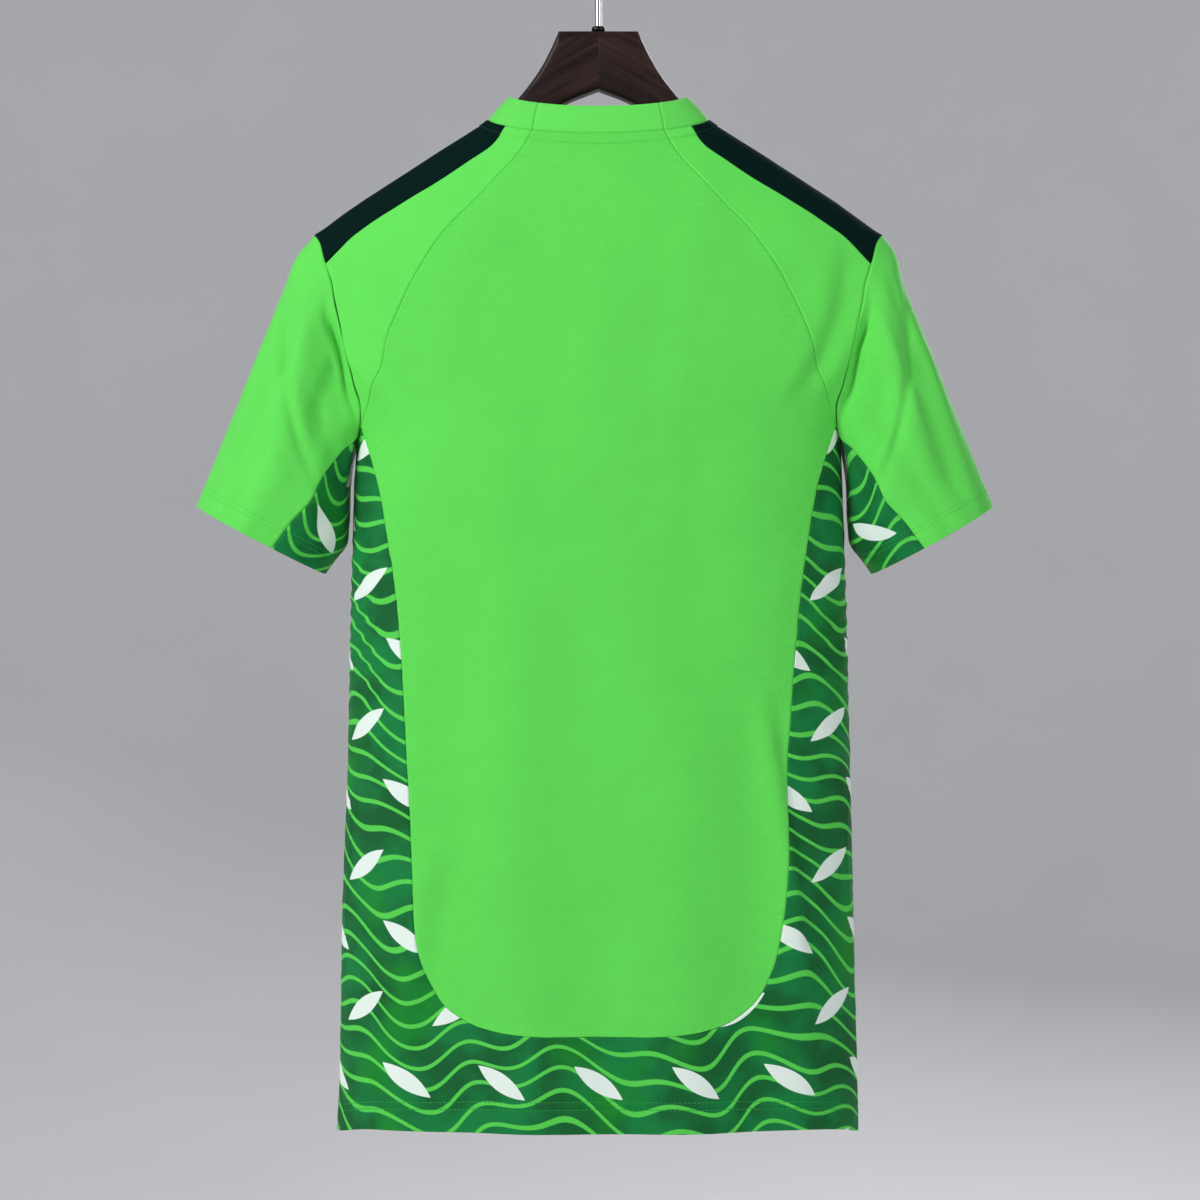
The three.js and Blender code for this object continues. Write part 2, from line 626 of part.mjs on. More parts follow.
function sleeveOutward(round, at, narrower) {
  const seam = armholeSeam(round);
  const atSeam = bodyOutward(seam.turn, seam.z);
  const step = 0.012;
  const pointAt = (turn, share) => sleevePoint(turn, share, narrower);
  const along = pointAt(round, Math.min(at + step, 1)).sub(pointAt(round, Math.max(at - step, 0)));
  const around = pointAt(round + 0.05, at).sub(pointAt(round - 0.05, at));
  const own = around.cross(along).normalize();
  return own.lerp(atSeam, 1 - smooth(at / 0.03)).normalize();
}

// Part of a sleeve whose columns start at the given turns round the armhole and spread between its two edges
function sleevePiece(side, starts, edgeFrom, edgeTo, rows) {
  const first = SEAM_GAP / 2 / 100;
  const end = starts.length - 1;
  const grid = Array.from({ length: rows + 1 }, (_, i) => {
    const at = mix(first, 1, (i / rows) ** 1.15);
    const gap = SEAM_GAP / 2 / (mix(16, 40, smooth(at * 3)));
    return starts.map((start, j) => {
      const share = (start - starts[0]) / (starts[end] - starts[0]);
      const trim = (j === 0 ? gap : 0) - (j === end ? gap : 0);
      return { at, round: mix(edgeFrom(at), edgeTo(at), share) + trim };
    });
  });
  const mirror = (point) => point.setX(point.x * side);
  const narrower = side > 0 ? RIGHT_SLEEVE_NARROWER : 0;
  return wall(
    grid,
    ({ round, at }) => mirror(sleevePoint(round, at, narrower)),
    ({ round, at }) => mirror(sleeveOutward(round, at, narrower)),
    CLOTH_WALL,
  );
}

// Turns round the armhole where the pieces of the body have their corners, from the armpit over the back
function armholeTurns() {
  const stripe = Array.from({ length: 5 }, (_, j) => STRIPE_END_ROUND * (1 - easeToRidge(j / 4))).reverse();
  const steps = (from, to, count) => Array.from({ length: count }, (_, i) => mix(from, to, (i + 1) / count));
  const armpit = steps(RAGLAN_END_ROUND, ARMPIT_SPLIT, 2);
  const back = [...stripe, ...steps(STRIPE_END_ROUND, RAGLAN_END_ROUND, SHOULDER_COUNT), ...armpit];
  const front = [...steps(0, RAGLAN_END_ROUND, SHOULDER_COUNT), ...armpit];
  return [...front.map((turn) => -turn).reverse(), ...back];
}

// Collar: a stand band between the neckline and its smaller top edge, with a column at each given neck angle.
// On the back its columns spread towards the top, so that its joins stand nearly upright.
function collarPiece(angles) {
  const rows = 3;
  const gap = SEAM_GAP / 2 / NECK_HALF_WIDTH;
  const last = angles.length - 1;
  const rise = (angle) => new THREE.Vector3(
    -COLLAR_SLOPE_IN * Math.sin(angle),
    COLLAR_LEAN * Math.cos(angle),
    COLLAR_HEIGHT + 3.5 * Math.abs(Math.cos(angle)),
  );
  const trimmed = angles.map((angle, j) => angle + (j === 0 ? gap : 0) - (j === last ? gap : 0));
  const spread = (angle, up) => rad(COLLAR_JOIN_LEAN) * up * (Math.cos(angle) > 0 ? Math.sin(2 * angle) : 0);
  const grid = Array.from({ length: rows + 1 }, (_, i) => {
    const up = i / rows;
    return trimmed.map((angle) => ({ up, angle: angle + spread(angle, up) }));
  });
  const pointOf = ({ up, angle }) => {
    const full = rise(angle);
    return bodyAt(neckPlace(angle)).addScaledVector(full, mix(SEAM_GAP / full.length(), 1, up));
  };
  const outwardOf = ({ up, angle }) => {
    const around = bodyAt(neckPlace(angle + 0.02)).sub(bodyAt(neckPlace(angle - 0.02)));
    const own = around.cross(rise(angle)).normalize();
    const place = neckPlace(angle);
    return own.lerp(bodyOutward(place.turn, place.z), 1 - up).normalize();
  };
  return wall(grid, pointOf, outwardOf, COLLAR_WALL);
}

// Angles round the right half of the neck where the pieces of the body have their corners
function neckAngles() {
  const steps = (from, to, count, ease = (k) => k) => (
    Array.from({ length: count + 1 }, (_, j) => mix(from, to, ease(j / count)))
  );
  const raglan = neckAngle(BACK_RAGLAN[0].x);
  const stripe = neckAngle(STRIPE_EDGE[0].x);
  return {
    back: steps(-raglan, raglan, 9),
    rightSide: [
      ...steps(raglan, stripe, 5),
      ...steps(stripe, RIGHT_ANGLE, 4, easeToRidge).slice(1),
      ...steps(Math.PI - raglan, RIGHT_ANGLE, 6, easeToRidge).reverse().slice(1),
    ],
    front: steps(Math.PI - raglan, Math.PI, 5),
  };
}

// Hanger

// Level of the shoulder ridge above a place across it, straight from one corner of the cloth to the next
function ridgeLevel(x) {
  let i = 0;
  while (i < SHOULDER_COUNT - 1 && halfWidth(RIDGE_LEVELS[i + 1]) < x) i += 1;
  const from = halfWidth(RIDGE_LEVELS[i]);
  const to = halfWidth(RIDGE_LEVELS[i + 1]);
  return mix(RIDGE_LEVELS[i], RIDGE_LEVELS[i + 1], (x - from) / (to - from));
}

// Wooden hanger: a flat-topped neck with sloping flanks, and two rounded arms along the shoulder ridge
function hangerWood() {
  const flank = column(HANGER_NECK_FLANK, 'x', 'z');
  const under = column(HANGER_UNDERSIDE, 'x', 'z');
  const seatLevel = (x) => {
    const slope = (ridgeLevel(x - 2) - ridgeLevel(x + 2)) / 4;
    return ridgeLevel(x) - (CLOTH_WALL + HANGER_GAP) * Math.hypot(1, slope);
  };
  const topLevel = (x) => {
    if (x <= HANGER_NECK_HALF_WIDTH) return HANGER_NECK_TOP_Z;
    if (x < NECK_HALF_WIDTH) return flank(x);
    return x < HANGER_SEAT_START ? Math.min(flank(x), seatLevel(x)) : seatLevel(x);
  };
  const stations = [0, 9, 18, HANGER_NECK_HALF_WIDTH, 28.9, 33, 38, 44, 50, 57, 64, 71, 77];
  for (let x = HANGER_SEAT_START; x < HANGER_ARM_END - HANGER_STEP / 2; x += HANGER_STEP) stations.push(x);
  stations.push(HANGER_ARM_END - HANGER_END_ROUND / 3, HANGER_ARM_END);
  const rings = [...stations.slice(1).reverse().map((x) => -x), ...stations].map((place) => {
    const x = Math.abs(place);
    const full = mix(0.55, 1, smooth((HANGER_ARM_END + 2 - x) / HANGER_END_ROUND));
    const shrink = (1 - full) * 6;
    const top = topLevel(Math.min(x, HANGER_ARM_END - HANGER_END_ROUND / 3)) - shrink;
    const bottom = under(x) + shrink;
    const toArm = smooth((x - 45) / 35);
    const depth = mix(HANGER_NECK_HALF_DEPTH, HANGER_ARM_HALF_DEPTH, toArm) * full;
    const power = 2 / mix(HANGER_NECK_POWER, HANGER_ARM_POWER, toArm);
    const bulge = (value) => Math.sign(value) * Math.abs(value) ** power;
    return Array.from({ length: HANGER_SIDES }, (_, j) => {
      const angle = (2 * Math.PI * j) / HANGER_SIDES;
      const level = mix(bottom, top, (1 + bulge(Math.cos(angle))) / 2);
      return [place, depth * bulge(Math.sin(angle)), level];
    });
  });
  return loft(rings);
}

// Wire hook: a short ferrule on the wood, a straight stem, a bend out and an arch over the rail
function hangerHook() {
  const bow = HOOK_INNER_RADIUS + WIRE_RADIUS;
  const centreZ = -HOOK_INNER_RADIUS;
  const foot = HANGER_NECK_TOP_Z + HANGER_GAP;
  const path = [
    { x: 0, z: foot, radius: FERRULE_RADIUS },
    { x: 0, z: foot + FERRULE_HEIGHT, radius: FERRULE_RADIUS },
    { x: 0, z: foot + FERRULE_HEIGHT, radius: WIRE_RADIUS },
    { x: 0, z: centreZ - bow - 5, radius: WIRE_RADIUS },
    { x: 1.2, z: centreZ - bow - 1.5, radius: WIRE_RADIUS },
  ];
  for (let i = 0; i <= HOOK_STEPS; i += 1) {
    const angle = rad(mix(HOOK_START, HOOK_END, i / HOOK_STEPS));
    path.push({ x: bow * Math.cos(angle), z: centreZ + bow * Math.sin(angle), radius: WIRE_RADIUS });
  }
  const rings = path.map((place, i) => {
    const before = path[Math.max(i - 1, 0)];
    const after = path[Math.min(i + 1, path.length - 1)];
    const tangent = new THREE.Vector2(after.x - before.x, after.z - before.z).normalize();
    return Array.from({ length: WIRE_SIDES }, (_, j) => {
      const angle = (2 * Math.PI * j) / WIRE_SIDES;
      const aside = place.radius * Math.cos(angle);
      return [place.x + tangent.y * aside, place.radius * Math.sin(angle), place.z - tangent.x * aside];
    });
  });
  return loft(rings);
}

// The garment
add('back_panel', backPanel(), GREEN);
add('back_surround', backSurround(), PRINTED);
add('front_panel', frontPanel(), PRINTED);
const sleeveTurns = armholeTurns();
const gussetTurns = Array.from({ length: 9 }, (_, j) => mix(ARMPIT_SPLIT, 360 - ARMPIT_SPLIT, j / 8));
const gussetFrom = (at) => rad(gussetTurn(at));
const gussetTo = (at) => rad(360 - gussetTurn(at));
const sleeveFrom = (at) => -rad(gussetTurn(at));
for (const { name, side } of [{ name: 'left', side: -1 }, { name: 'right', side: 1 }]) {
  add(`back_yoke_${name}`, backYoke(side), GREEN);
  add(`front_yoke_${name}`, frontYoke(side), GREEN);
  add(`shoulder_stripe_${name}`, shoulderStripe(side), DARK_STRIPE);
  add(`sleeve_${name}`, sleevePiece(side, sleeveTurns, sleeveFrom, gussetFrom, 14), GREEN);
  add(`sleeve_gusset_${name}`, sleevePiece(side, gussetTurns, gussetFrom, gussetTo, 14), PRINTED);
}
const neck = neckAngles();
const rightHalf = [...neck.rightSide, ...neck.front.slice(1)];
const leftHalf = rightHalf.slice(0, -1).map((angle) => 2 * Math.PI - angle).reverse();
add('collar_back', collarPiece(neck.back), GREEN);
add('collar_front', collarPiece([...rightHalf, ...leftHalf]), GREEN);
add('hanger_wood', hangerWood(), WOOD);
add('hanger_hook', hangerHook(), CHROME);

export default garment;
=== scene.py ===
"""A short-sleeved football jersey hanging on a wooden hanger, seen from its back.

The garment is one hollow form: an oval ring at each level for the body, a leaning oval for each sleeve
and a stand band round the neck. Each cut piece is a thin shell on that form, laid out between its own seams.
Tables and sizes are in millimetres, down from the rail, and become metres where a mesh is made.
"""

import logging
from dataclasses import dataclass, field
from enum import Enum
from typing import Callable, Optional

import bpy
import numpy as np
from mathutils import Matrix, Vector


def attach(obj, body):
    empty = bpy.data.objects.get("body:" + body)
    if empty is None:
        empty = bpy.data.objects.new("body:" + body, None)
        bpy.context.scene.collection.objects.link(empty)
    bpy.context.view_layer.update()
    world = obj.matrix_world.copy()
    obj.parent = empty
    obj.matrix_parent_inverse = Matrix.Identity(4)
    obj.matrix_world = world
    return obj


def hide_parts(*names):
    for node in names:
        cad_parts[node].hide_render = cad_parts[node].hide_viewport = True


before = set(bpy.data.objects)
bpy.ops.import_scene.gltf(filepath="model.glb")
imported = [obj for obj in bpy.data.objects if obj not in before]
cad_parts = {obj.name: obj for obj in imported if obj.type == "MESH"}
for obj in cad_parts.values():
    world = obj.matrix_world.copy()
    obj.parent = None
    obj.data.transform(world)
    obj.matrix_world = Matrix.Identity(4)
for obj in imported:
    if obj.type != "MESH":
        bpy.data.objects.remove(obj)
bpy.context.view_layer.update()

MM = 0.001
log = logging.getLogger("jersey")

Array = np.ndarray
Curve = Callable[[Array], Array]


class Slot(Enum):
    """Finishes of the record that the pieces take."""

    GREEN_MESH = "green_mesh"
    GREEN_KNIT = "green_knit"
    COLLAR_KNIT = "collar_knit"
    PRINTED_KNIT = "printed_knit"
    STRIPE_KNIT = "stripe_knit"
    DARK_WOOD = "dark_wood"
    HOOK_CHROME = "hook_chrome"


class Edge(Enum):
    """What a maker does with an edge: sews it, sews it to the neck band, or folds it under as a hem."""

    SEAM = "seam"
    NECK = "neck"
    HEM = "hem"
    CUFF = "cuff"
    FOLD = "fold"


class Face(Enum):
    """The two sides of the garment."""

    BACK = 1
    FRONT = -1


def table(columns: str, *rows: tuple) -> dict[str, Array]:
    """A short table as its named columns.

    Args:
        columns: The columns' names, apart by spaces.
        rows: One tuple for each row.

    Returns:
        An array for each column's name.
    """
    return dict(zip(columns.split(), np.array(rows, float).T))


HALF_WIDTHS = table(
    "z half",
    (-130, 68), (-139, 79.5), (-149, 94.6), (-163, 116.9), (-176.5, 137.7), (-190.5, 159.4),
    (-205.5, 181.5), (-217, 197), (-226, 209), (-245, 217), (-268, 218), (-300, 209), (-330, 194),
    (-350, 181), (-370, 175.5), (-400, 177), (-440, 178.2), (-545, 180), (-640, 183), (-745, 185.5),
    (-875, 188),
)
DEPTHS = table(
    "z back front",
    (-130, 27, 27), (-154, 35, 35), (-180, 40, 41), (-220, 48, 49), (-268, 53, 55), (-300, 55, 58),
    (-370, 58, 61), (-500, 60, 63), (-700, 63, 65), (-875, 66, 67),
)
RIDGE_LEVELS = np.array([-139, -152, -166, -179, -194.5, -208, -216, -223], float)

# Large folds of the body: turn from the centre of their side at top and bottom, levels, height and width
BODY_FOLDS = table(
    "face top bottom start end height width",
    (1, -38, -30, -420, -900, -3.2, 9), (1, -22, -14, -470, -900, 2.6, 10),
    (1, -6, 3, -380, -900, -2.2, 10), (1, 14, 20, -450, -900, 2.4, 11),
    (1, 33, 37, -520, -900, -3.4, 8), (1, 47, 52, -540, -860, 3.4, 8),
    (1, -56, -50, -480, -900, 3.0, 8), (-1, -48, -40, -400, -900, 5.5, 9),
    (-1, -29, -22, -380, -900, -5.5, 9), (-1, -8, -3, -420, -900, 5.0, 10),
    (-1, 12, 17, -360, -900, -5.5, 9), (-1, 31, 37, -430, -900, 5.5, 9), (-1, 52, 56, -460, -900, -4.0, 8),
)
# Smaller folds: drag lines below the shoulder tips and beside the armholes, and soft lines by the hem
FINE_FOLDS = table(
    "face top bottom start end height width",
    (1, 64, 57, -222, -345, 2.0, 4.0), (1, 56, 50, -226, -355, -2.4, 3.8),
    (1, 48, 43, -236, -360, 1.6, 4.0), (1, -65, -57, -222, -350, 1.9, 4.0),
    (1, -57, -50, -228, -352, -2.3, 3.8), (1, -48, -42, -238, -362, 1.5, 4.0),
    (1, 38, 50, -530, -760, 2.8, 3.6), (1, 44, 57, -545, -770, -2.4, 3.6),
    (1, -40, -47, -640, -810, 2.0, 3.4), (1, -35, -43, -660, -820, -1.8, 3.4),
    (1, 32, 20, -168, -250, 1.2, 5.0), (1, -30, -18, -166, -246, 1.1, 5.0),
    (1, 27, 18, -330, -640, -1.3, 6.0), (1, -25, -20, -300, -600, 1.2, 6.0),
    (1, 24, 28, -640, -870, -0.9, 4.5), (1, -30, -25, -700, -870, 0.8, 4.5),
    (1, 8, 6, -160, -330, 0.5, 5.0), (1, -12, -10, -170, -340, -0.5, 5.0),
    (-1, 64, 55, -230, -340, 1.2, 4.2), (-1, -62, -54, -232, -345, 1.2, 4.2),
    (-1, 22, 16, -300, -520, 1.4, 5.0), (-1, -20, -15, -290, -500, -1.3, 5.0),
    (-1, 3, 1, -260, -420, 1.0, 5.0),
)

BACK_RAGLAN = table(
    "x z",
    (47, -151.1), (55, -165.5), (70, -183.5), (89, -204), (107, -222.5), (123, -244.5), (136.5, -268.5),
    (147.5, -294.5), (157, -322), (164.5, -346), (171, -362.3),
)
FRONT_RAGLAN = table(
    "x z",
    (47, -206.75), (60, -223), (76, -241), (93, -259.5), (109, -277), (124, -294), (137, -310),
    (148.5, -325.5), (158, -340), (165, -352.5), (171, -362.3),
)
STRIPE_EDGE = table(
    "x z",
    (66.5, -147.2), (75, -160.3), (93, -173.3), (114, -187.5), (135.5, -200.3), (157, -213.9),
    (178.5, -229.6), (193.8, -246.5),
)
CENTRE_BACK = table(
    "x z",
    (171, -362.3), (163, -385), (155.6, -412), (150, -444), (144.3, -480), (139.8, -525), (136.6, -572),
    (133.9, -620), (131.6, -668), (129.3, -710), (126.3, -736), (121, -755), (112.5, -770), (100, -780),
    (83, -787.3), (60, -791.2), (34, -793),
)
SIDE_SEAM = table("z turn", (-370, 90), (-440, 89), (-600, 84), (-655, 75), (-730, 78), (-870, 82))

SLEEVE_ROWS = table(
    "at over_x over_z under_x under_z depth",
    (0, 206.4, -223, 175.5, -370, 34), (0.1, 219.3, -240, 178.2, -382, 37),
    (0.25, 230.9, -269, 179.5, -397, 41), (0.45, 246.5, -308, 180, -419, 43),
    (0.65, 262.5, -348, 180.8, -441.5, 44), (0.85, 278.5, -388, 190.5, -457, 44),
    (1, 290.4, -419, 198.3, -467.5, 44),
)
GUSSET_EDGE = table("at turn", (0, 167), (0.12, 150), (0.3, 137), (0.5, 122), (0.75, 112), (1, 106))

# The right sleeve hangs narrower than the left, by this much along its upper edge
RIGHT_SLEEVE_NARROWER = 5.5

# Folds of a sleeve: turn round it (0 upper edge, 90 back) at the armhole and at the cuff, the stretch of
# its length, height and width
SLEEVE_FOLDS = table(
    "top bottom start end height width",
    (26, 38, 0.05, 0.95, 2.2, 12), (52, 58, 0.08, 1.1, -3.2, 12), (80, 76, 0.1, 0.9, 2.6, 12),
    (108, 98, -0.1, 0.45, -7.5, 26), (300, 316, 0.05, 1.1, -3.4, 13), (268, 284, 0.05, 1.1, 3.0, 14),
    (240, 250, 0, 0.6, -4.5, 16),
)
FINE_SLEEVE_FOLDS = table(
    "top bottom start end height width",
    (40, 46, 0.0, 0.6, -1.6, 7), (-30, 220, 0.14, 0.62, -3.2, 13), (66, 68, 0.05, 0.7, 1.4, 7),
    (94, 90, 0.0, 0.5, 1.2, 7),
    (124, 112, 0.1, 0.9, 1.2, 8), (142, 130, 0.2, 1.1, -1.0, 8), (330, 322, 0.0, 0.7, 1.0, 8),
    (222, 236, 0.1, 0.9, 1.2, 8),
)


def smooth(t: Array) -> Array:
    """Soft step: 0 before 0, 1 after 1, and 3t^2 - 2t^3 between."""
    t = np.clip(t, 0, 1)
    return t * t * (3 - 2 * t)


def mix(a: Array, b: Array, t: Array) -> Array:
    """Straight blend from a to b."""
    return a + (b - a) * t


class Column:
    """One column of a table as a smooth curve: a monotone cubic between its rows."""

    def __init__(self, at: Array, value: Array) -> None:
        """Sorts the rows and works out each row's slope, the harmonic mean of its two neighbours.

        Args:
            at: Places of the rows.
            value: The column's value at each.
        """
        order = np.argsort(at)
        self.at, self.value = at[order], value[order]
        rise = np.diff(self.value) / np.diff(self.at)
        before, after = rise[:-1], rise[1:]
        total = np.where(before * after > 0, before + after, np.inf)
        self.slope = np.concatenate([rise[:1], 2 * before * after / total, rise[-1:]])

    def __call__(self, place: Array) -> Array:
        """Value at each place, by the cubic Hermite formula."""
        i = np.clip(np.searchsorted(self.at, place) - 1, 0, len(self.at) - 2)
        span = self.at[i + 1] - self.at[i]
        t = np.clip((place - self.at[i]) / span, 0, 1)
        held = (2 * t**3 - 3 * t**2 + 1) * self.value[i] + (3 * t**2 - 2 * t**3) * self.value[i + 1]
        bent = (t**3 - 2 * t**2 + t) * self.slope[i] + (t**3 - t**2) * self.slope[i + 1]
        return held + bent * span


@dataclass(frozen=True)
class Ripple:
    """Slight unevenness of hanging knit: a sum of plane waves of set wavelengths and seeded directions."""

    seed: int
    height: float
    shortest: float
    longest: float
    waves: int = 18
    lean: float = 1.0

    def __call__(self, across: Array, down: Array) -> Array:
        """Height at each place of the cloth.

        Args:
            across: Distance across the cloth.
            down: Distance down the cloth.

        Returns:
            The mean of the waves times the height.
        """
        draw = np.random.default_rng(self.seed)
        length = draw.uniform(self.shortest, self.longest, self.waves)
        angle = draw.uniform(0, 2 * np.pi, self.waves)
        phase = draw.uniform(0, 2 * np.pi, self.waves)
        total = np.zeros_like(across)
        for k, a, p in zip(2 * np.pi / length, angle, phase):
            total += np.sin(k * (np.cos(a) * across + self.lean * np.sin(a) * down) + p)
        return total * self.height / np.sqrt(self.waves)


@dataclass(frozen=True)
class Neck:
    """Neck of the garment: its points, drops and band."""

    point_z: float = -139.0
    back_drop: float = 15.0
    front_drop: float = 84.0
    half_width: float = 79.5
    band_height: float = 17.0
    band_extra: float = 3.5
    band_slope_in: float = 15.5
    band_lean: float = 5.0
    join_lean: float = 6.3
    band_wall: float = 1.7


@dataclass(frozen=True)
class Armhole:
    """Armhole of the garment: its levels and how far it lies in from the side."""

    tip_z: float = -223.0
    pit_z: float = -370.0
    inset: float = 0.135
    inset_lean: float = 0.048
    power: float = 1.4
    stripe_end: float = 47.0
    raglan_end: float = 156.0


def fold_sum(folds: dict[str, Array], off: Callable[[Array, Array], Array], place: Array, fade: float,
             leave: float, last: float) -> Array:
    """Sum of soft ridges and troughs, each a bell across itself that fades in and out along its length.

    Args:
        folds: Table of the folds.
        off: Angle from a fold's centre, from its top and bottom turns and the share along it.
        place: Place along the folds, level or share.
        fade: How fast a fold fades in, per length of it.
        leave: How fast it fades out.
        last: Share of its length where it is gone.

    Returns:
        Height at each place.
    """
    height = np.zeros_like(place)
    for k, tall in enumerate(folds["height"]):
        along = (place - folds["start"][k]) / (folds["end"][k] - folds["start"][k])
        away = off(k, np.clip(along, 0, 1))
        away -= 2 * np.pi * np.round(away / (2 * np.pi))
        bell = np.exp(-((away / np.radians(folds["width"][k])) ** 2))
        height += tall * smooth(along * fade) * smooth((last - along) * leave) * bell
    return height


@dataclass
class Body:
    """The garment's trunk as one surface of two parameters, the turn round it and the level.

    Turn 0 is the centre back, 90 degrees the right side and 180 degrees the centre front.
    """

    hem_z: float = -860.7
    hem_drop: float = 8.5
    oval_power: float = 2.4
    neck: Neck = field(default_factory=Neck)
    armhole: Armhole = field(default_factory=Armhole)
    softness: Ripple = Ripple(seed=4, height=0.5, shortest=45, longest=120, lean=0.5)
    creasing: Ripple = Ripple(seed=9, height=0.16, shortest=14, longest=34)
    crinkle_height: float = 1.05
    crinkle_length: float = 17.0
    crinkle_top: float = -415.0
    crinkle_bottom: float = -620.0
    held_below_neck: float = 20.0
    loosening: float = 60.0
    front_offset: float = 1000.0

    def __post_init__(self) -> None:
        """Makes the curves of the tables and the share of the half ring that lies before each turn."""
        self.half_width = Column(HALF_WIDTHS["z"], HALF_WIDTHS["half"])
        self.back_depth = Column(DEPTHS["z"], DEPTHS["back"])
        self.front_depth = Column(DEPTHS["z"], DEPTHS["front"])
        self.side_turn = Column(SIDE_SEAM["z"], SIDE_SEAM["turn"])
        turns = np.linspace(0, np.pi / 2, 400)
        depth = self.back_depth(self.armhole.pit_z) / self.half_width(self.armhole.pit_z)
        bow = (1 - np.sin(turns) ** self.oval_power) ** (1 / self.oval_power)
        ring = np.stack([np.sin(turns), depth * bow])
        steps = np.linalg.norm(np.diff(ring), axis=0)
        self.arc_turns, self.arc_share = turns, np.concatenate([[0], np.cumsum(steps)])

    def cloth_across(self, turn: Array, z: Array) -> Array:
        """Distance round the cloth from the centre back, or from the centre front on the front."""
        on_back = np.cos(turn) >= 0
        own = np.where(on_back, turn, np.pi - turn)
        share = np.interp(np.abs(np.sin(own)), np.sin(self.arc_turns), self.arc_share)
        return np.sign(np.sin(own)) * share * self.half_width(z)

    def folds(self, turn: Array, z: Array) -> Array:
        """Height of all folds and of the cloth's unevenness at each place."""
        def off(rows: dict[str, Array]) -> Callable[[int, Array], Array]:
            def away(k: int, along: Array) -> Array:
                on_side = np.radians(mix(rows["top"][k], rows["bottom"][k], along))
                return turn - (on_side if rows["face"][k] > 0 else np.pi - on_side)
            return away
        large = fold_sum(BODY_FOLDS, off(BODY_FOLDS), z, 3, 8, 1.02)
        small = fold_sum(FINE_FOLDS, off(FINE_FOLDS), z, 4, 4, 1.0)
        across = self.cloth_across(turn, z) + np.where(np.cos(turn) >= 0, 0, self.front_offset)
        loose = smooth((self.neck.point_z - self.held_below_neck - z) / self.loosening)
        uneven = (self.softness(across, z) + self.creasing(across, z)) * loose
        return large + small + uneven + self.crinkles(turn, z)

    def crinkles(self, turn: Array, z: Array) -> Array:
        """Small level crinkles on the side panels below each armpit: a wave down the side that leans."""
        side = np.exp(-(((np.abs(np.sin(turn)) - 0.93) / 0.09) ** 2))
        stretch = smooth((self.crinkle_top - z) / 60) * smooth((z - self.crinkle_bottom) / 130)
        lean = 0.35 * np.abs(self.cloth_across(turn, z)) + 26 * np.sign(np.sin(turn))
        phase = (z + lean) / self.crinkle_length + 1.1 * np.sin(z / 41) + 0.6 * np.sin(turn * 3 + z / 67)
        return self.crinkle_height * side * stretch * np.sin(2 * np.pi * phase)

    def point(self, turn: Array, z: Array) -> Array:
        """Point of the surface: x = W sin t, y = -D (1 - |sin t|^p)^(1/p), moved out by the folds."""
        across = np.sin(turn)
        on_back = np.cos(turn) >= 0
        depth = np.where(on_back, self.back_depth(z), self.front_depth(z))
        bow = np.clip(1 - np.abs(across) ** self.oval_power, 0, None) ** (1 / self.oval_power)
        fold = self.folds(turn, z)
        x = (self.half_width(z) + fold) * across
        return np.stack([x, np.where(on_back, -1, 1) * depth * bow - fold * np.cos(turn), z], -1)

    def turn_at(self, x: Array, z: Array) -> Array:
        """Turn whose point at a level lies at a distance from the middle."""
        return np.arcsin(np.clip(x / self.half_width(z), -1, 1))

    def hem_level(self, turn: Array) -> Array:
        """Level of the hem, which hangs lower at the sides."""
        return self.hem_z - self.hem_drop * np.sin(turn) ** 12

    def armhole_place(self, angle: Array) -> Array:
        """Place on the right armhole: 0 shoulder tip, 90 back, 180 armpit, and below 0 the front."""
        hole = self.armhole
        wrapped = angle - 360 * np.round(angle / 360)
        cos, sin = np.cos(np.radians(wrapped)), np.abs(np.sin(np.radians(wrapped)))
        z = (hole.tip_z + hole.pit_z) / 2 + (hole.tip_z - hole.pit_z) / 2 * cos
        turn = np.arcsin(1 - (hole.inset + hole.inset_lean * cos) * sin**hole.power)
        return np.stack([np.where(wrapped >= 0, turn, np.pi - turn), z], -1)

    def neck_place(self, angle: Array) -> Array:
        """Place on the neckline: 0 centre back, 90 degrees right neck point, 180 centre front."""
        angle = np.asarray(angle, float)
        front = np.cos(angle) < 0
        drop = np.where(front, self.neck.front_drop, self.neck.back_drop)
        z = self.neck.point_z - drop * np.abs(np.cos(angle))
        turn = self.turn_at(self.neck.half_width * np.abs(np.sin(angle)), z)
        turn = np.where(front, np.pi - turn, turn)
        return np.stack([np.where(np.sin(angle) < 0, -turn, turn), z], -1)

    def neck_angle(self, x: float) -> float:
        """Neck angle of the back neckline's point at a distance from the middle."""
        return float(np.arcsin(x / self.neck.half_width))

    def seam(self, rows: dict[str, Array], face: Face = Face.BACK, halfway: float = 0.5) -> Curve:
        """A seam on the right half, from its table, as places for shares of its length.

        Args:
            rows: The seam's points as seen from the back.
            face: Side of the garment that it lies on.
            halfway: Share of the table that the first half of the shares covers.

        Returns:
            A function of shares from 0 to 1.
        """
        at = np.linspace(0, 1, len(rows["x"]))
        x_at, z_at = Column(at, rows["x"]), Column(at, rows["z"])

        def places(t: Array) -> Array:
            own = np.interp(t, [0, 0.5, 1], [0, halfway, 1])
            z = z_at(own)
            turn = self.turn_at(x_at(own), z)
            return np.stack([turn if face is Face.BACK else np.pi - turn, z], -1)
        return places

    def ridge(self, t: Array) -> Array:
        """Top of the right shoulder, from the neck point to the shoulder tip."""
        z = np.interp(t, np.linspace(0, 1, len(RIDGE_LEVELS)), RIDGE_LEVELS)
        return np.stack([np.full_like(z, np.pi / 2), z], -1)

